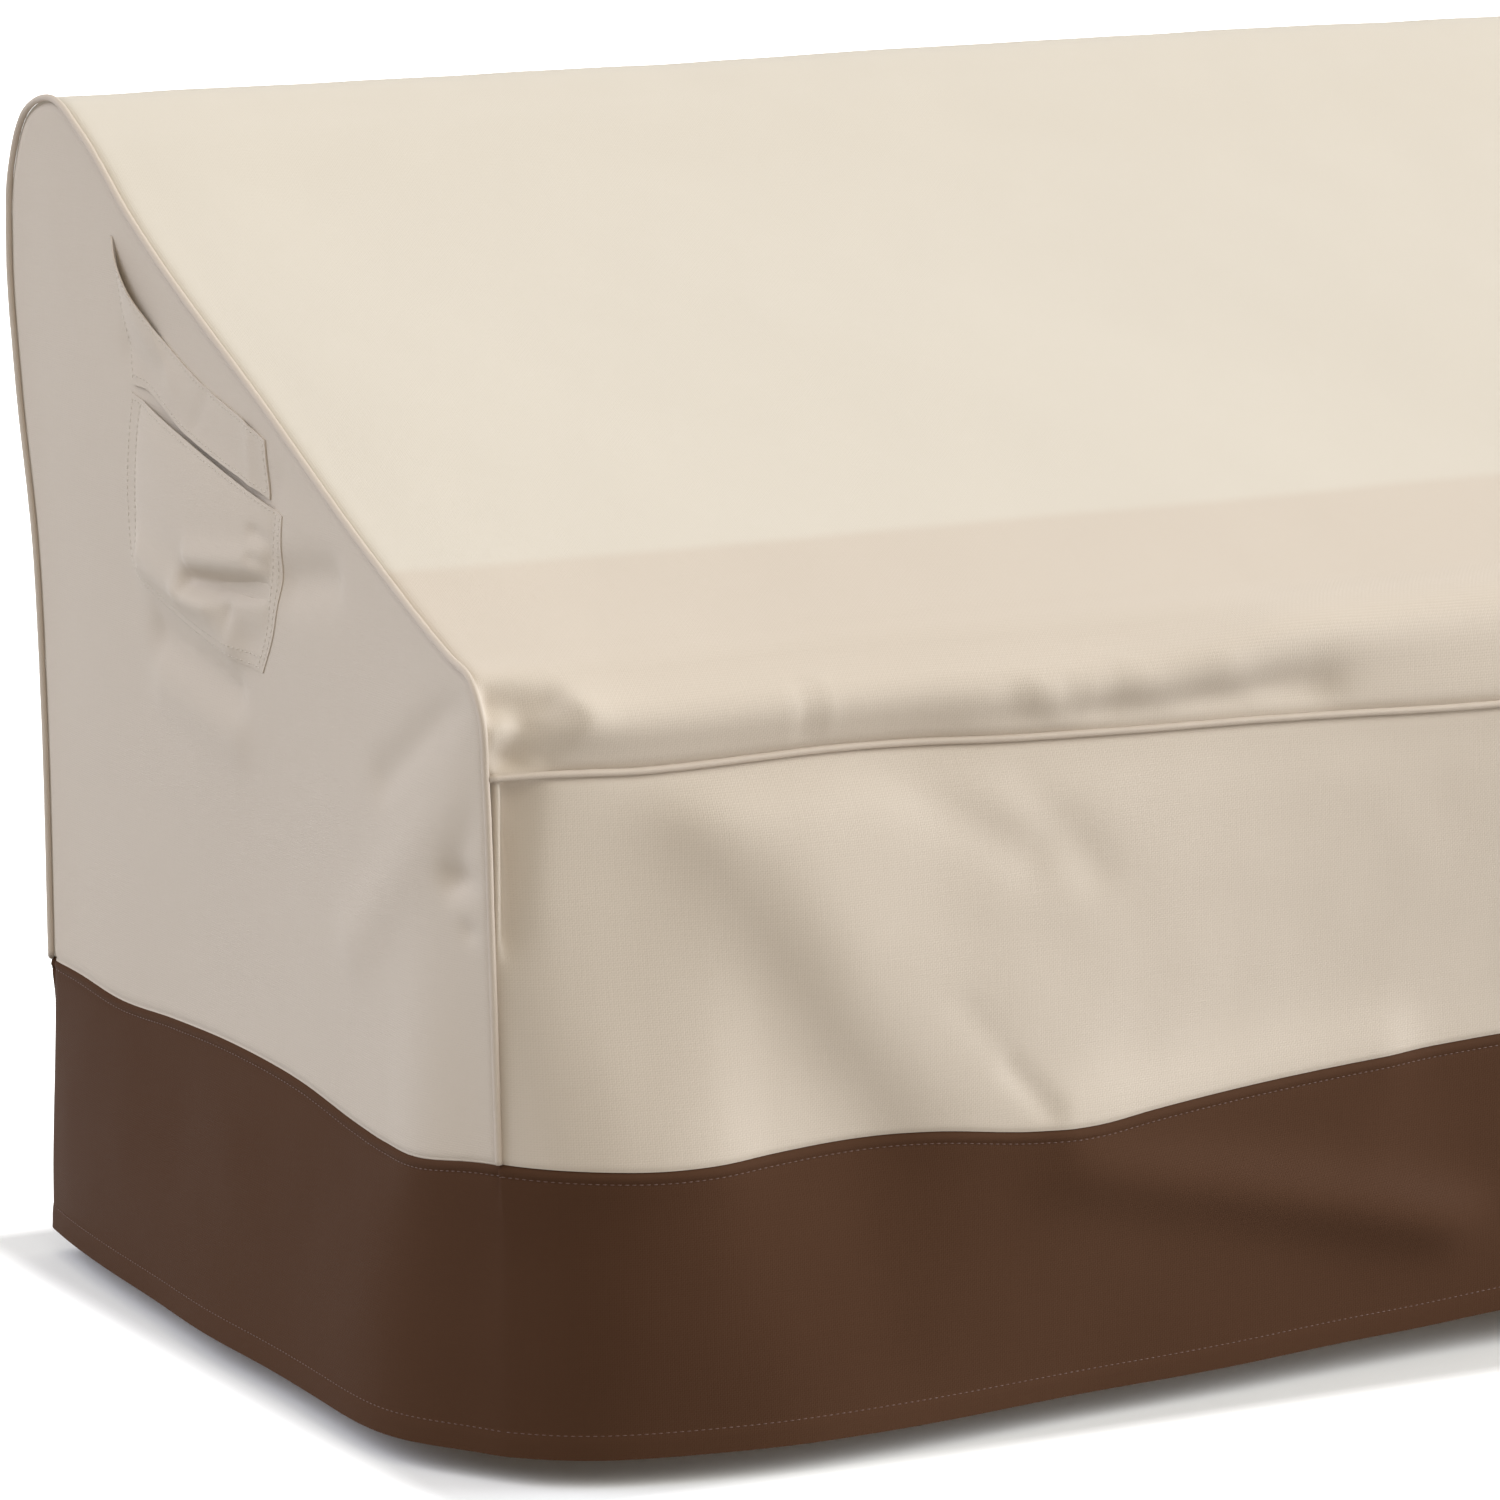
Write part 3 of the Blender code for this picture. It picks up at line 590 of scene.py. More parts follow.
# ---- the sheets, as grids of points in cover coordinates ----
def main_grid():
    """From the front seam up the slope, over the ridge and down the back: rows by columns."""
    start, ridge, end = KNOTS[line_of("front seam")], KNOTS[line_of("ridge")], KNOTS[-1]
    s = spaced(
        start + EDGE,
        end - GAP,
        MAIN_ROWS,
        ((start, 0.012, 9), (start + 0.05, 0.05, 4), (ridge, 0.08, 1), (end, 0.01, 7)),
    )
    y, z, ny, nz, inset = (k[:, None] for k in outline(s))
    closer = ((-1, 0.008, 8), (1, 0.008, 8), (-0.97, 0.1, 1.5), (0.97, 0.1, 1))
    shares = spaced(-1, 1, MAIN_COLUMNS, closer)
    x = columns_at(inset[:, 0], shares)
    u = x + HALF
    above, below = s[:, None] - start, end - s[:, None]
    side = np.minimum(u, WIDTH - u) - inset
    edge = run_in(side, CROWN_RUN)
    slope = np.sin(np.pi * np.clip(above / (ridge - start), 0, 1))
    prow = look_up(OVERHANG, u, PROW) * bump(above - look_up(OVERHANG, u, PROW_UP), PROW_RUN)
    out = CROWN * edge * slope + prow
    out = out - look_up(OVERHANG, u, SLACK) * bump(above - SLACK_UP, SLACK_RUN)
    out = out + folds(MAIN_FOLDS, u, above) * edge * run_in(above, FOLD_RUN)
    close = run_in(side, CLOSE_RUN) * run_in(above, CLOSE_RUN)
    out = out + folds(MAIN_CORNER_FOLDS, u, above) * close
    on_back = (y > RIDGE_Y) * edge * run_in(below, BACK_FOLD_RUN)
    out = out + folds(BACK_FOLDS, u, z) * on_back
    spots = np.stack([x, y + 0 * x, z + 0 * x], -1)
    calm = run_in(above, MAIN_CALM[0]) * run_in(below, MAIN_CALM[1]) * run_in(side, MAIN_CALM[2])
    out = out + swells(spots, MAIN_UNEVEN) * calm
    out = out - TUCK * (bump(above - EDGE, TUCK_RUN) + bump(side - EDGE, TUCK_RUN))
    # near the two seams the panel follows what it is sewn to
    front = np.exp(-((above / FRONT_FOLLOW) ** 2))
    back = np.exp(-((below / BACK_FOLLOW) ** 2))
    y = y - look_up(FRONT, u, TOP_OUT) * front + look_up(BACK, u, SEAM_OUT) * back
    z = z + look_up(FRONT, u, TOP_UP) * front + look_up(BACK, u, SEAM_UP) * back
    return np.stack([x, y + ny * out, z + nz * out], -1), u, above + 0 * x


def front_grid():
    """From the band's seam up to the front seam: rows by columns."""
    shares = spaced(-1, 1, FRONT_COLUMNS, ((-1, 0.008, 5), (1, 0.008, 5), (-0.9, 0.2, 0.7)))
    parts = spaced(0, 1, FRONT_ROWS, ((0, 0.02, 4), (1, 0.03, 4)))[:, None]
    inset = corner_at(BAND_HIGH + parts[:, 0] * (FRONT_SEAM_HIGH - BAND_HIGH))[1]
    x = columns_at(inset, shares)
    u = x + HALF
    low = BAND_HIGH + look_up(FRONT, u, SEAM_UP) + GAP / 2
    high = FRONT_SEAM_HIGH + look_up(FRONT, u, TOP_UP) - EDGE
    z = low + parts * (high - low)
    side = np.minimum(u, WIDTH - u) - inset[:, None]
    spots = np.stack([x, 0 * x, z], -1)
    calm = run_in(high - z, FRONT_CALM[0]) * run_in(z - low, FRONT_CALM[1])
    calm = calm * run_in(side, FRONT_CALM[2])
    out = swells(spots, FRONT_UNEVEN) * calm
    out = out - TUCK * (bump(high - z, TUCK_RUN) + bump(side - EDGE, TUCK_RUN))
    out = out - SEAM_TUCK * bump(z - low, SEAM_TUCK_RUN)
    return np.stack([x, front_y(x, z) - out, z], -1), u, z - BAND_HIGH


def side_grid(side):
    """A patch between the outline, just inside its piping, and the band's seam."""
    top_left, top_right = KNOTS[line_of("corner")], KNOTS[line_of("bulge, top")]
    rises = spaced(0, 1, SIDE_ROWS, both_ends(0.01, 5))
    across = spaced(0, 1, SIDE_COLUMNS, both_ends(0.008, 6))

    def inside(s):
        y, z, ny, nz, _ = outline(s)
        return np.stack([y - ny * EDGE, z - nz * EDGE], -1)

    first, last = OUT_Y[0] + EDGE, OUT_Y[-1] - EDGE
    seam_y = first + across * (last - first)
    bottom = np.stack([seam_y, side_seam(seam_y) + GAP / 2], -1)
    top = inside(top_left + across * (top_right - top_left))
    left = inside(rises * top_left)
    right = inside(KNOTS[-1] + rises * (top_right - KNOTS[-1]))
    left[0], right[0] = bottom[0], bottom[-1]
    up, along = rises[:, None, None], across[None, :, None]
    flat = (1 - along) * left[:, None] + along * right[:, None]
    flat = flat + (1 - up) * bottom[None] + up * top[None]
    flat = flat - (1 - up) * ((1 - along) * bottom[0] + along * bottom[-1])
    flat = flat - up * ((1 - along) * top[0] + along * top[-1])
    y, z = flat[..., 0], flat[..., 1]
    lift = -SEAM_TUCK * bump(z - side_seam(y), SEAM_TUCK_RUN)
    return on_side(side, y, z, lift), y, z


def band_grid():
    """The ring of the band, from the hem up: left corner, front, right side, back, left side."""
    closer = both_ends(0.03, 3, -1)
    x = columns_at(OUT_INSET[0], spaced(-1, 1, BAND_FRONT_COLUMNS, closer))
    back_x = columns_at(OUT_INSET[-1], spaced(-1, 1, BAND_BACK_COLUMNS, closer))[::-1]
    first, last = OUT_Y[0] + EDGE, OUT_Y[-1] - EDGE
    y = spaced(first, last, BAND_SIDE_COLUMNS, both_ends(0.03, 3, first, last))
    closer = ((0, 0.02, 1), (0.09, 0.02, 3), (0.96, 0.02, 4), (1, 0.01, 3))
    shares = spaced(0, 1, BAND_ROWS, closer)[:, None]

    def between(hem, seam):
        return hem * (1 - shares) + seam * shares

    def front(x_seam):
        u = x_seam + HALF
        z_seam = BAND_HIGH + look_up(FRONT, u, SEAM_UP) - GAP / 2
        hem_x = x_seam * (HALF + MM * SIDE[0][HEM_OUT]) / (HALF - OUT_INSET[0])
        z = between(look_up(FRONT, u, HEM_UP), z_seam)
        seam_y = front_y(x_seam, z_seam)
        out = folds(BAND_FOLDS, u, z) + BAND_BULGE * np.sin(np.pi * shares)
        fade = run_in(np.minimum(u, WIDTH - u) - OUT_INSET[0], CORNER_RUN)
        out = out * fade * (1 - shares**4)  # none at the seam
        y_at = between(HEM_FRONT_Y - look_up(FRONT, u, HEM_OUT), seam_y) - out
        return np.stack([between(hem_x, x_seam), y_at, z], -1)

    def back(x_seam):
        u = x_seam + HALF
        seam_y = OUT_Y[-1] + look_up(BACK, u, SEAM_OUT)
        hem_y = HEM_BACK_Y + look_up(BACK, u, HEM_OUT)
        z_seam = BAND_HIGH + look_up(BACK, u, SEAM_UP) - GAP / 2
        z_at = between(look_up(BACK, u, HEM_UP), z_seam)
        return np.stack([between(x_seam, x_seam), between(hem_y, seam_y), z_at], -1)

    def one_side(side, y_seam):
        z_seam = side_seam(y_seam) - GAP / 2
        share = (y_seam - OUT_Y[0]) / (OUT_Y[-1] - OUT_Y[0])
        hem_y = HEM_FRONT_Y + share * (HEM_BACK_Y - HEM_FRONT_Y)
        seam_x = HALF + side_out(y_seam, z_seam)
        hem_x = HALF + look_up(SIDE, y_seam, HEM_OUT)
        bulge = BAND_BULGE * np.sin(np.pi * shares) * run_in(y_seam - first, BAND_CORNER_RUN)
        bulge = bulge * run_in(last - y_seam, BAND_CORNER_RUN)
        x_at = side * (between(hem_x, seam_x) + bulge)
        z_at = between(look_up(SIDE, y_seam, HEM_UP), z_seam)
        return np.stack([x_at, between(hem_y, y_seam), z_at], -1)

    corner = np.array([HALF - OUT_INSET[0]])
    back_corner = np.array([HALF - OUT_INSET[-1]])
    ring = [front(-corner), front(x), front(corner), one_side(1, y)]
    ring += [back(back_corner), back(back_x), back(-back_corner), one_side(-1, y[::-1])]
    points = np.concatenate(ring, axis=1)

    # the corners are soft below the seam
    rounded = points
    for _ in range(BAND_ROUNDS):
        rounded = (np.roll(rounded, 1, 1) + 2 * rounded + np.roll(rounded, -1, 1)) / 4
    points = points + (rounded - points) * run_in(1 - shares, BAND_ROUND_RUN)[..., None]
    tangent = np.roll(points, -1, 1) - np.roll(points, 1, 1)
    outward = unit(np.stack([tangent[..., 1], -tangent[..., 0], 0 * tangent[..., 0]], -1))
    up = points[..., 2] - points[:1, :, 2]
    down = points[-1:, :, 2] - points[..., 2]
    out = HEM_THICK / (1 + np.exp((up - HEM_HIGH) / HEM_END))
    out -= STITCH_DIP * bump(up - HEM_STITCHES_HIGH, STITCH_DIP_RUN)
    out += FELL_THICK * bump(down - 0.5 * FELL_HIGH, 0.4 * FELL_HIGH)
    out -= STITCH_DIP * bump(down - FELL_HIGH, STITCH_DIP_RUN)
    out -= TUCK * bump(down, BAND_TUCK_RUN)
    calm = run_in(up, BAND_CALM[0]) * run_in(down, BAND_CALM[1])
    out += swells(points, BAND_UNEVEN) * calm
    points = points + outward * out[..., None]
    long = lengths(points.swapaxes(0, 1)).T
    return points, long, up + 0 * long


def strap_points(side, at, down):
    """Points of a strap, at from its back end (0) to its front one, down from its upper edge."""
    knots = np.arange(len(STRAP), dtype=float)
    upper_y, upper_z, lower_y, lower_z, upper_lift, lower_lift = (
        smooth(at, knots, column(STRAP, k)) for k in range(1, 7)
    )
    y = upper_y * (1 - down) + lower_y * down
    z = upper_z * (1 - down) + lower_z * down
    lift = upper_lift * (1 - down) + lower_lift * down + folds(STRAP_FOLDS, y, z)
    return on_side(side, y, z, lift)


def strap_grid(side):
    last = len(STRAP) - 1
    at = spaced(0, last, STRAP_COLUMNS, both_ends(0.1, 2, 0, last))
    down = spaced(0, 1, STRAP_ROWS, both_ends(0.06, 2))[:, None]
    points = strap_points(side, at, down)
    return points, points[..., 1], points[..., 2]


def patch_points(side, across, down):
    """Points of a patch, across from its back edge, down from its mouth, both 0 to 1."""
    knots = np.linspace(0, 1, len(PATCH))
    back_y, back_z, fore_y, fore_z = (smooth(down, knots, column(PATCH, k)) for k in range(1, 5))
    y = (1 - across) * back_y + across * fore_y
    sag = MOUTH_SAG * (1 - down) + BOTTOM_SAG * down
    z = (1 - across) * back_z + across * fore_z - sag * np.sin(np.pi * across)
    puffed = np.clip(down / (1 - LOW_FLANGE), 0, 1)
    fall = smooth(puffed, np.array([0, PUFF_LOW, 1.0]), np.array([MOUTH_SHARE, 1.0, 0.0]))
    free = np.clip((across - BACK_FLANGE) / (1 - BACK_FLANGE - FRONT_FLANGE), 0, 1)
    puff = np.sin(np.pi * free) ** PUFF_SQUARE * fall
    lift = PATCH_SEWN + PATCH_PUFF * puff + folds(PATCH_FOLDS, y, z) * np.minimum(1, 2 * puff)
    return on_side(side, y, z, lift)


def patch_grid(side):
    down = spaced(0, 1, PATCH_ROWS, both_ends(0.04, 2))[:, None]
    across = spaced(0, 1, PATCH_COLUMNS, both_ends(0.04, 2))
    points = patch_points(side, across, down)
    return points, points[..., 1], points[..., 2]


def side_welt_line(side):
    """The line of a side piping, and the direction in which it stands proud."""
    y, z, ny, nz, inset = outline(np.linspace(0, KNOTS[-1], SIDE_WELT_STEPS))
    z[0] = side_seam(y[:1])[0] + GAP
    z[-1] = side_seam(y[-1:])[0] + GAP
    line = np.stack([side * (HALF - inset), y, z], -1)
    return line, np.stack([side + 0 * ny, ny, nz], -1)


def front_welt_line():
    x = columns_at(OUT_INSET[line_of("front seam")], np.linspace(-1, 1, FRONT_WELT_STEPS))
    u = x + HALF
    y = corner_at(FRONT_SEAM_HIGH)[0] - look_up(FRONT, u, TOP_OUT)
    line = np.stack([x, y, FRONT_SEAM_HIGH + look_up(FRONT, u, TOP_UP)], -1)
    return line, np.array([0.0, -1.0, 0.0])


# ---- materials ----
def linear(hex_colour):
    """An sRGB hex value as linear red, green, blue and alpha."""
    parts = [int(hex_colour[k : k + 2], 16) / 255 for k in (1, 3, 5)]
    return [*(((p + 0.055) / 1.055) ** 2.4 if p > 0.04045 else p / 12.92 for p in parts), 1.0]


def add_node(tree, kind, inputs=None, **settings):
    """Adds a node; inputs gives each socket a value, or another node's socket to link to."""
    made = tree.nodes.new("ShaderNode" + kind)
    for name, value in settings.items():
        setattr(made, name, value)
    for name, value in (inputs or {}).items():
        if isinstance(value, bpy.types.NodeSocket):
            tree.links.new(value, made.inputs[name])
        else:
            made.inputs[name].default_value = value
    return made


def maths(tree, operation, *values, **settings):
    made = add_node(tree, "Math", dict(enumerate(values)), operation=operation, **settings)
    return made.outputs[0]


def blend(tree, factor, first, second):
    """A colour between two, each an sRGB hex value or another node's socket."""
    first, second = (linear(k) if isinstance(k, str) else k for k in (first, second))
    return add_node(tree, "Mix", {0: factor, 6: first, 7: second}, data_type="RGBA").outputs[2]


def ramp(tree, value, start, end, top=1.0):
    """0 up to start, rising smoothly to top at end."""
    sockets = {"Value": value, "From Min": start, "From Max": end, "To Max": top}
    return add_node(tree, "MapRange", sockets, interpolation_type="SMOOTHSTEP").outputs[0]


def new_material(name):
    made = bpy.data.materials.new(name)
    made.use_nodes = True
    made.node_tree.nodes.clear()
    return made, made.node_tree


def add_shader(made, sockets):
    shader = add_node(made.node_tree, "BsdfPrincipled", sockets)
    add_node(made.node_tree, "OutputMaterial", {"Surface": shader.outputs[0]})
    return made


def oxford_cloth(name, colour, faded, turn, roughness, sheen, gloss=0.35, paler=None):
    """Coated polyester Oxford: a plain weave of thick yarns under a thin film.

    Its tone wanders from colour to faded. turn is the angle of the weave, and paler the colour
    painted over the slope above its crease, the ridge and the back, as painted light.
    """
    made, tree = new_material(name)
    cloth = add_node(tree, "UVMap", uv_map="cloth").outputs["UV"]
    spot = add_node(tree, "TexCoord").outputs["Object"]

    def scaled(scale, angle=0.0):
        sockets = {"Vector": cloth, "Scale": scale, "Rotation": (0, 0, angle)}
        return add_node(tree, "Mapping", sockets).outputs["Vector"]

    yarns = scaled((1 / YARN_DRAWN, 1 / YARN_DRAWN, 1), turn)
    over = add_node(tree, "TexChecker", {"Vector": yarns, "Scale": 1.0}).outputs["Fac"]
    apart = add_node(tree, "SeparateXYZ", {"Vector": yarns})
    rounds = []
    for axis in ("X", "Y"):
        turns = maths(tree, "MULTIPLY", apart.outputs[axis], math.pi)
        rounds.append(maths(tree, "ABSOLUTE", maths(tree, "SINE", turns)))
    weave = add_node(tree, "Mix", {0: over, 2: rounds[0], 3: rounds[1]}).outputs[0]
    # slubs: yarns a little thicker or thinner for some centimetres
    slubs = []
    for scale in ((SLUB_ACROSS, SLUB_ALONG, 1), (SLUB_ALONG, SLUB_ACROSS, 1)):
        sockets = {"Vector": scaled(scale), "Scale": 1.0, "Detail": 1.0}
        slubs.append(add_node(tree, "TexNoise", sockets).outputs[0])
    slub = add_node(tree, "Mix", {0: 0.5, 2: slubs[0], 3: slubs[1]}).outputs[0]
    # dyeing and sun are never quite even
    sockets = {"Vector": spot, "Scale": TONE_SCALE, "Detail": 2.0, "Roughness": 0.45}
    tone = add_node(tree, "TexNoise", sockets).outputs[0]
    shade = maths(tree, "MULTIPLY_ADD", slub, SLUB_TONE, -SLUB_TONE / 2)
    mixed = maths(tree, "ADD", tone, shade, use_clamp=True)
    colours = blend(tree, mixed, colour, faded)
    if paler:
        # painted light: above the crease and behind the ridge the cloth is painted paler than below
        apart_at = add_node(tree, "SeparateXYZ", {"Vector": spot})
        crease = CREASE_HIGH - ORIGIN[2]
        above = ramp(tree, apart_at.outputs["Z"], crease - CREASE_HALF, crease + CREASE_HALF)
        behind = maths(tree, "GREATER_THAN", apart_at.outputs["Y"], 0.0)
        colours = blend(tree, maths(tree, "MAXIMUM", above, behind), colours, paler)
    bumped = add_node(tree, "Bump", {"Height": slub, "Distance": SLUB_DEEP, "Strength": 0.6})
    sockets = {"Height": weave, "Distance": WEAVE_DEEP, "Strength": 0.7}
    bumped = add_node(tree, "Bump", {**sockets, "Normal": bumped.outputs[0]})
    sockets = {"Value": tone, "To Min": roughness - 0.04, "To Max": roughness + 0.04}
    rough = add_node(tree, "MapRange", sockets).outputs[0]
    return add_shader(
        made,
        {
            "Base Color": colours,
            "Roughness": rough,
            "Normal": bumped.outputs[0],
            "Specular IOR Level": gloss,
            "Sheen Weight": sheen,
            "Sheen Roughness": 0.5,
        },
    )


def sewing_thread(name, colour, faded):
    """Bonded polyester thread, twisted from filaments, so each stitch has a soft gloss."""
    made, tree = new_material(name)
    spot = add_node(tree, "TexCoord").outputs["Object"]
    ply = add_node(tree, "TexNoise", {"Vector": spot, "Scale": PLY_SCALE, "Detail": 1.0}).outputs[0]
    bumped = add_node(tree, "Bump", {"Height": ply, "Distance": PLY_DEEP, "Strength": 0.5})
    colours = blend(tree, ply, colour, faded)
    return add_shader(made, {"Base Color": colours, "Roughness": 0.5, "Normal": bumped.outputs[0]})


# beige film-coated cloth: matt and even, a little warmer in the shade of its folds
BEIGE_OXFORD = oxford_cloth("beige_coated_oxford", "#C3B6A7", "#C9BDAE", 0.0, 0.62, 0.06)
# the same cloth from the front seam over the ridge, painted paler above its crease and behind, as
# painted light
SLOPE_OXFORD_PAINTED_LIGHT = oxford_cloth(
    "beige_coated_oxford_slope_painted_light", "#C3B6A7", "#C9BDAE", 0.0, 0.62, 0.06, paler="#CBC2B4"
)
# brown cloth of the same make, so matt that its folds show only as soft shade
BROWN_OXFORD = oxford_cloth("brown_coated_oxford", "#4D3527", "#533B2C", 0.0, 0.5, 0.0, gloss=0.01)
# the piping is the beige cloth cut on the bias, so its weave runs at 45 degrees
BIAS_OXFORD = oxford_cloth("beige_bias_cut_oxford", "#BFB1A2", "#C5B8AA", math.pi / 4, 0.6, 0.06)
BEIGE_THREAD = sewing_thread("beige_polyester_thread", "#BBB0A1", "#CFC6B9")
BROWN_THREAD = sewing_thread("brown_polyester_thread", "#4E3529", "#6A4A3D")


# ---- making the pieces ----
def place(points):
    return points - ORIGIN


COVER_MIDDLE = place(np.array([0.0, 0.40, 0.42]))  # outwards is away from here


def add_object(name, data):
    made = bpy.data.objects.new(name, data)
    bpy.context.scene.collection.objects.link(made)
    return made


def add_mesh(name, bm, material):
    mesh = bpy.data.meshes.new(name)
    bm.to_mesh(mesh)
    bm.free()
    mesh.materials.append(material)
    return add_object(name, mesh)


def add_piece(name, bm, material, node=None):
    piece = add_mesh(name, bm, material)
    piece.data.shade_smooth()
    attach(piece, "root")
    if node:
        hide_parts(node)
    return piece


def add_grid(points, along, across):
    """A bmesh grid through rows by columns of points, with the flat cloth as its UV map."""
    rows, columns = points.shape[0] - 1, points.shape[1] - 1
    bm = bmesh.new()
    cloth = bm.loops.layers.uv.new("cloth")
    bmesh.ops.create_grid(bm, x_segments=columns, y_segments=rows, size=1)
    index = {}
    for vert in bm.verts:
        index[vert] = round((vert.co.y + 1) / 2 * rows), round((vert.co.x + 1) / 2 * columns)
        vert.co = points[index[vert]]
    for face in bm.faces:
        for loop in face.loops:
            spot = index[loop.vert]
            loop[cloth].uv = along[spot], across[spot]
    return bm


def face_outwards(bm, middle):
    """Turns the faces of an open sheet away from a point inside the cover."""
    bm.normal_update()
    away = sum(f.normal.dot(f.calc_center_median() - middle) * f.calc_area() for f in bm.faces)
    if away < 0:
        bmesh.ops.reverse_faces(bm, faces=bm.faces)


def add_sheet(name, grid, material, node, thickness=CLOTH, closed=False):
    """A sheet through a grid of points; a closed one joins its ends into a ring."""
    points, along, across = grid
    points = place(points)
    if closed:
        points = np.concatenate([points, points[:, :1]], axis=1)
        last = along[:, -1:] + np.linalg.norm(points[:, -1:] - points[:, -2:-1], axis=-1)
        along = np.concatenate([along, last], axis=1)
        across = np.concatenate([across, across[:, :1]], axis=1)
    bm = add_grid(points, along, across)
    if closed:
        bmesh.ops.remove_doubles(bm, verts=bm.verts, dist=1e-6)
    face_outwards(bm, Vector(COVER_MIDDLE))
    # the rim stays sharp, so that the thickness added below is shaded as an edge
    bm.edges.index_update()
    rim = [edge.index for edge in bm.edges if edge.is_boundary]
    piece = add_piece(name, bm, material, node)
    for k in rim:
        piece.data.edges[k].use_edge_sharp = True
    solid = piece.modifiers.new("thickness", "SOLIDIFY")
    solid.thickness = thickness
    solid.offset = 0
    return piece


def add_beige(name, grid, node, thickness=CLOTH):
    return add_sheet(name, grid, BEIGE_OXFORD, node, thickness)


def add_welt(name, line_and_proud, node):
    """Piping: a cord under bias-cut cloth, as a tube round a line, proud of the seam."""
    line, proud = line_and_proud
    points = place(line)
    tangent = unit(np.gradient(points, axis=0))
    outward = unit(proud - (proud * tangent).sum(1, keepdims=True) * tangent)
    beside = np.cross(tangent, outward)
    long = lengths(points)
    turn = np.linspace(0, 2 * np.pi, WELT_SIDES + 1)[:, None]
    radius = WELT * (1 + WELT_UNEVEN * uneven(points, WELT_LUMP)) * np.ones_like(turn)
    middle = points + outward * WELT_PROUD
    ring = middle[None] + radius[..., None] * (
        np.cos(turn)[..., None] * outward[None] + np.sin(turn)[..., None] * beside[None]
    )
    bm = add_grid(ring, long[None] + 0 * turn, WELT * turn + 0 * long[None])
    bmesh.ops.remove_doubles(bm, verts=bm.verts, dist=1e-6)
    bmesh.ops.holes_fill(bm, edges=[e for e in bm.edges if e.is_boundary])
    bmesh.ops.recalc_face_normals(bm, faces=bm.faces)
    return add_piece(name, bm, BIAS_OXFORD, node)


def grid_normals(points):
    """Outward normals of a grid of points."""
    across, along = np.gradient(points, axis=0), np.gradient(points, axis=1)
    normal = unit(np.cross(along, across))
    away = (normal * (points - COVER_MIDDLE)).sum()
    return normal if away > 0 else -normal


def add_row(bm, path, normal, lift):
    """A row of lockstitches along a path of points, each a small flattened ball of thread."""
    long = lengths(path)
    at = np.arange(STITCH_PITCH / 2, long[-1], STITCH_PITCH)

    def along_path(values, where):
        return np.stack([np.interp(where, long, values[:, k]) for k in range(3)], -1)

    centre = along_path(path, at)
    ahead = along_path(path, at + 0.5 * STITCH_LONG) - along_path(path, at - 0.5 * STITCH_LONG)
    out = along_path(normal, at)
    for middle, way, up in zip(centre, ahead, out):
        way, up = Vector(way).normalized(), Vector(up).normalized()
        beside = up.cross(way).normalized()
        up = way.cross(beside)
        turned = Matrix((way * STITCH_LONG, beside * STITCH_WIDE, up * STITCH_WIDE)).transposed()
        matrix = Matrix.Translation(Vector(middle) + up * lift) @ turned.to_4x4()
        bmesh.ops.create_icosphere(bm, subdivisions=1, radius=0.5, matrix=matrix)


def add_band_row(name, grid, high):
    """A row of brown stitches round the band, where its across value is high."""
    bm = bmesh.new()
    add_row(bm, *row_of_grid(grid, high), 0.5 * CLOTH)
    return add_piece(name, bm, BROWN_THREAD)


def add_rows(name, rows, side, thickness):
    """Rows of beige stitches on a piece of a side."""
    bm = bmesh.new()
    for points in rows:
        path = place(points)
        normal = np.array([side, 0.0, 0.0]) + 0 * path
        add_row(bm, path, normal, 0.5 * thickness)
    return add_piece(name, bm, BEIGE_THREAD)


def strap_rows_of(side):
    """Along both edges of a strap, and across both its ends."""
    last = len(STRAP) - 1
    along = np.linspace(0.10, last - 0.10, 200)
    across = np.linspace(0.06, 0.94, 40)
    ends = (STRAP_STITCHES_IN, last - STRAP_STITCHES_IN)
    rows = [strap_points(side, along, np.full_like(along, k)) for k in STRAP_STITCHES_DOWN]
    return rows + [strap_points(side, np.full_like(across, at), across) for at in ends]


def patch_rows_of(side):
    """Twice along the back, front and bottom edges of a patch, and once along its mouth."""
    share = np.linspace(0.02, 0.97, 80)
    level = np.ones_like(share)
    rows = [patch_points(side, level * at, share) for at in PATCH_STITCHES_ACROSS]
    return rows + [patch_points(side, share, level * at) for at in PATCH_STITCHES_DOWN]


def row_of_grid(grid, high):
    """The path and normals round a closed grid where its across value is high."""
    points, _, across = grid
    points = place(points)
    normals = grid_normals(points)
    line, out = [], []
    for j in range(points.shape[1]):
        order = across[:, j]
        line.append([np.interp(high, order, points[:, j, k]) for k in range(3)])
        out.append([np.interp(high, order, normals[:, j, k]) for k in range(3)])
    return np.array(line + line[:1]), np.array(out + out[:1])


def add_side(name, side):
    panel = add_beige("side_cloth_" + name, side_grid(side), "side_panel_" + name)
    add_welt("side_welt_" + name, side_welt_line(side), "piping_" + name)
    patch = add_beige("vent_cloth_" + name, patch_grid(side), "vent_patch_" + name, VENT_CLOTH)
    strap = add_beige("strap_cloth_" + name, strap_grid(side), "handle_strap_" + name, STRAP_CLOTH)
    patch_rows = add_rows("vent_stitches_" + name, patch_rows_of(side), side, VENT_CLOTH)
    strap_rows = add_rows("strap_stitches_" + name, strap_rows_of(side), side, STRAP_CLOTH)


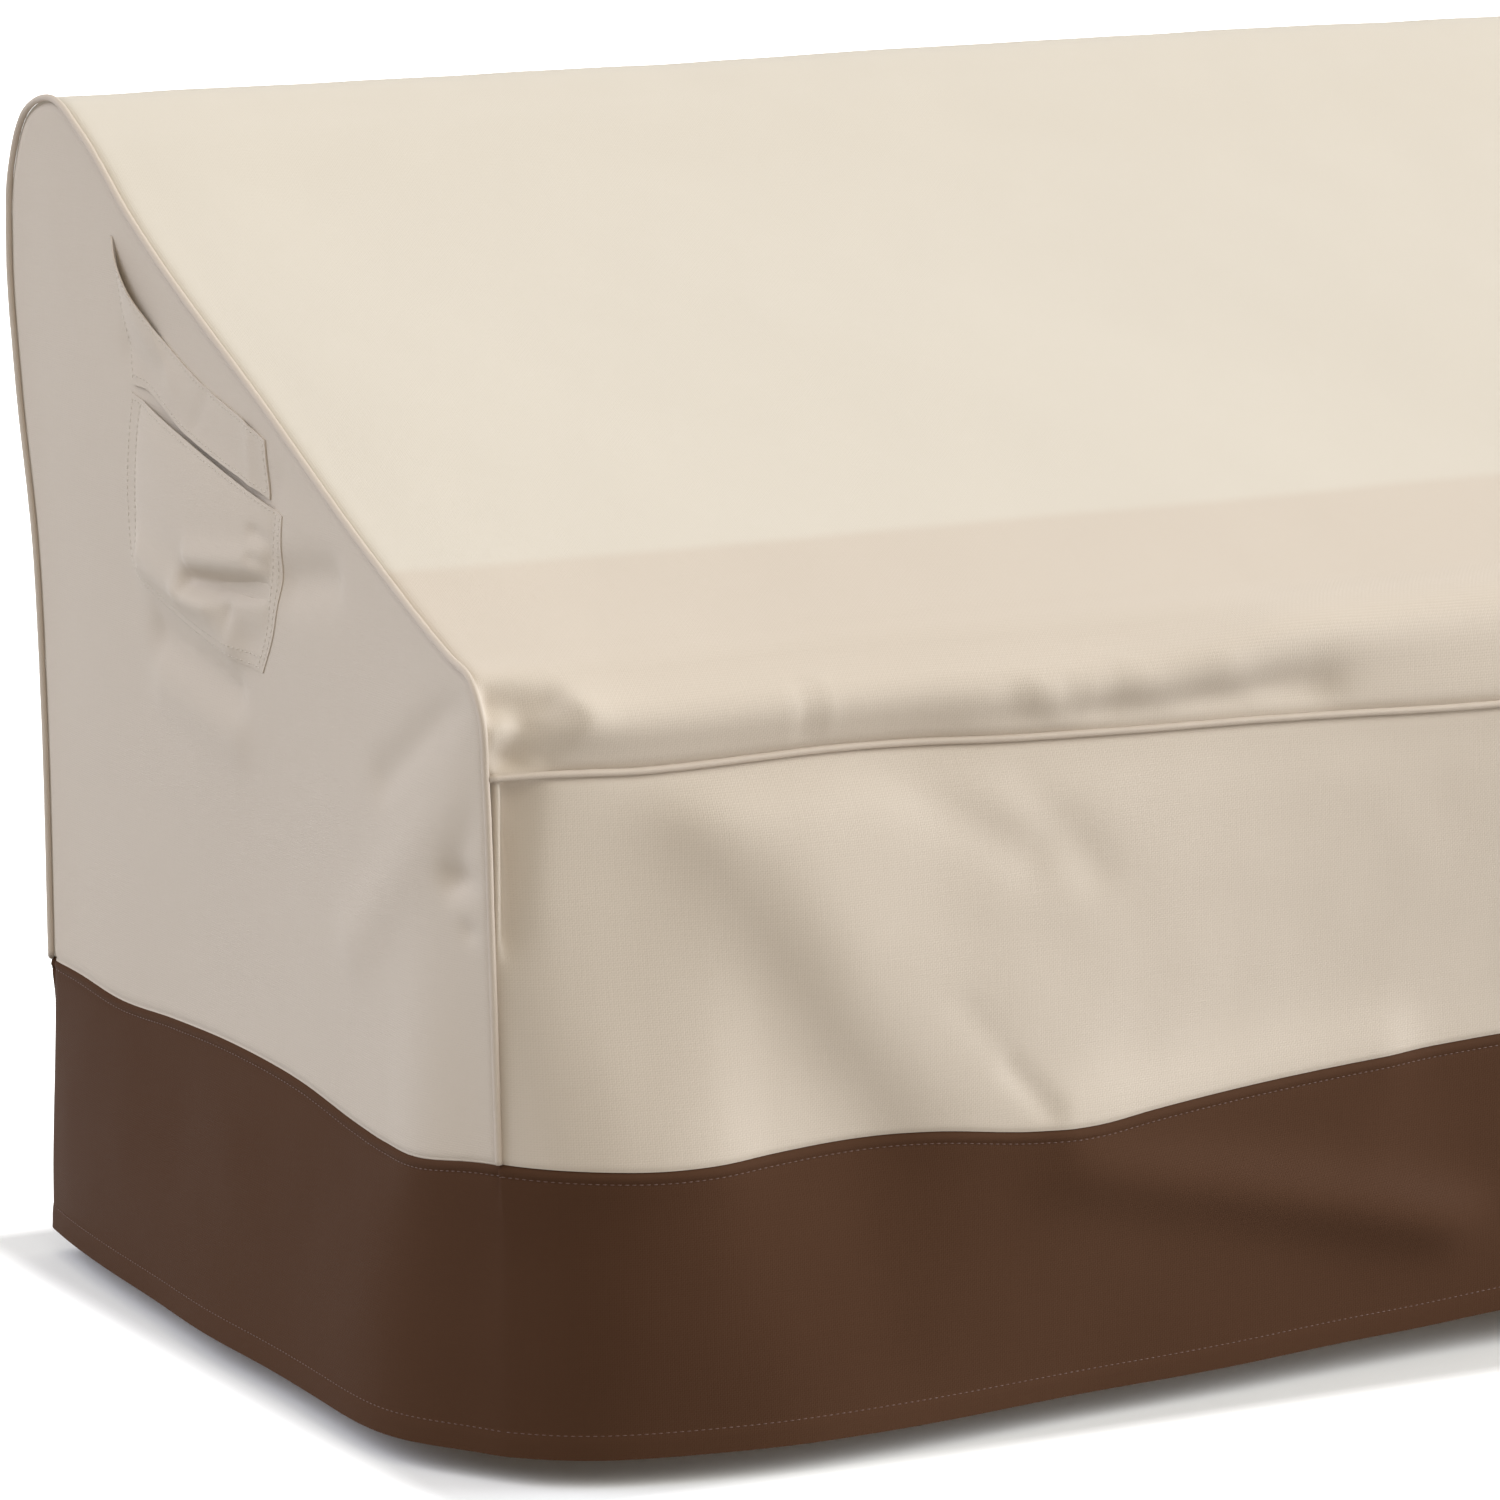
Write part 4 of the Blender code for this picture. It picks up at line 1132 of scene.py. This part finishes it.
def add_cover():
    main_sheet = add_sheet("main_cloth", main_grid(), SLOPE_OXFORD_PAINTED_LIGHT, "main_panel")
    front_sheet = add_beige("front_cloth", front_grid(), "front_panel")
    band = band_grid()
    band_sheet = add_sheet(
        "band_cloth", band, BROWN_OXFORD, "hem_band", closed=True
    )
    points, long, up = band
    hem_row = add_band_row("hem_stitches", band, HEM_STITCHES_HIGH)
    fell_row = add_band_row("band_seam_stitches", (points, long, up - up[-1:]), -FELL_HIGH)
    add_welt("front_welt", front_welt_line(), "piping_front")
    for name, side in (("left", -1), ("right", 1)):
        add_side(name, side)


# ---- floor, light and camera ----
FLOOR_DOWN = 0.020  # the hem hangs this far above the floor
FLOOR_HALF = 60
SPECK_SCALE = 300.0  # noise scale of its specks
PAINTED_FLOOR_GLOW = 0.80  # painted glow of the floor, away from the cover
GLOW_RUN = 0.05  # how far from the cover's foot it is full
FOOT_IN = 0.01  # the foot stands this far inside the model's box
WORLD = ((1.0, 0.96, 0.90, 1.0), 0.40)  # colour and strength
SUNS = (
    # name, towards the light, strength, spread in degrees, colour
    ("overhead_scrim", (0.0, -0.1, 1.0), 0.95, 120, (1.0, 0.97, 0.80)),
    ("key_softbox", (0.9, -0.3, 0.3), 3.19, 35, (0.88, 0.93, 1.0)),
    ("side_softbox", (-0.72, 0.40, 0.60), 1.72, 50, (0.78, 0.83, 1.0)),
    ("front_panel_light", (0.1, -1.0, 0.35), 0.75, 90, (1.0, 0.93, 0.86)),
)
EYE = (-3.256014, -5.351174, 0.639464)
EYE_TURN = 28.24508  # degrees from +Y towards +X
EYE_DOWN = 10.99007  # degrees
LENS = 189.469


def floor_paint(floor_z):
    """Matt pale paint, faintly speckled, with a painted glow that fades out close round the cover.
    """
    made, tree = new_material("pale_floor_with_painted_glow")
    spot = add_node(tree, "TexCoord").outputs["Object"]
    speck = add_node(tree, "TexNoise", {"Vector": spot, "Scale": SPECK_SCALE}).outputs[0]
    # the distance from the cover's footprint, taken as a rectangle
    low, high = CAD_BOX
    middle = [(a + b) / 2 for a, b in zip(low, high)]
    half = [(b - a) / 2 - FOOT_IN for a, b in zip(low, high)]
    offset = spot
    for operation, other in (
        ("SUBTRACT", (*middle[:2], floor_z)),
        ("ABSOLUTE", (0.0, 0.0, 0.0)),
        ("SUBTRACT", (*half[:2], 0.0)),
        ("MAXIMUM", (0.0, 0.0, 0.0)),
    ):
        sockets = {0: offset, 1: other}
        offset = add_node(tree, "VectorMath", sockets, operation=operation).outputs[0]
    away = add_node(tree, "VectorMath", {0: offset}, operation="LENGTH").outputs["Value"]
    # painted light: the floor glows everywhere but close round the cover, which keeps the cover's
    # shadow short
    return add_shader(
        made,
        {
            "Base Color": blend(tree, speck, "#F4F4F4", "#F8F8F8"),
            "Roughness": 0.9,
            "Emission Color": (1.0, 1.0, 1.0, 1.0),
            "Emission Strength": ramp(tree, away, 0.0, GLOW_RUN, PAINTED_FLOOR_GLOW),
        },
    )


def add_floor():
    floor_z = -ORIGIN[2] - FLOOR_DOWN
    bm = bmesh.new()
    bmesh.ops.create_grid(bm, x_segments=1, y_segments=1, size=FLOOR_HALF)
    bmesh.ops.translate(bm, verts=bm.verts, vec=(0, 0, floor_z))
    floor = add_mesh("floor", bm, floor_paint(floor_z))
    floor.visible_diffuse = False  # its glow doesn't light the cloth


def add_lights():
    """A pale studio, and distant soft lights."""
    world = bpy.data.worlds.new("studio")
    world.use_nodes = True
    background = world.node_tree.nodes["Background"]
    background.inputs["Color"].default_value, background.inputs["Strength"].default_value = WORLD
    bpy.context.scene.world = world
    for name, towards, strength, spread, colour in SUNS:
        data = bpy.data.lights.new(name, "SUN")
        data.energy = strength
        data.color = colour
        data.angle = math.radians(spread)
        lamp = add_object(name, data)
        lamp.rotation_euler = Vector(towards).to_track_quat("Z", "Y").to_euler()


def add_camera():
    camera = bpy.data.cameras.new("camera")
    camera.sensor_width = 36
    camera.lens = LENS
    camera.clip_end = 200
    eye = add_object("camera", camera)
    eye.location = EYE
    turn, down = math.radians(EYE_TURN), math.radians(EYE_DOWN)
    level = math.cos(down)
    forward = Vector((math.sin(turn) * level, math.cos(turn) * level, -math.sin(down)))
    eye.rotation_euler = forward.to_track_quat("-Z", "Y").to_euler()
    bpy.context.scene.camera = eye
    bpy.context.scene.view_settings.view_transform = "Standard"


add_cover()
add_floor()
add_lights()
add_camera()

bpy.context.view_layer.update()
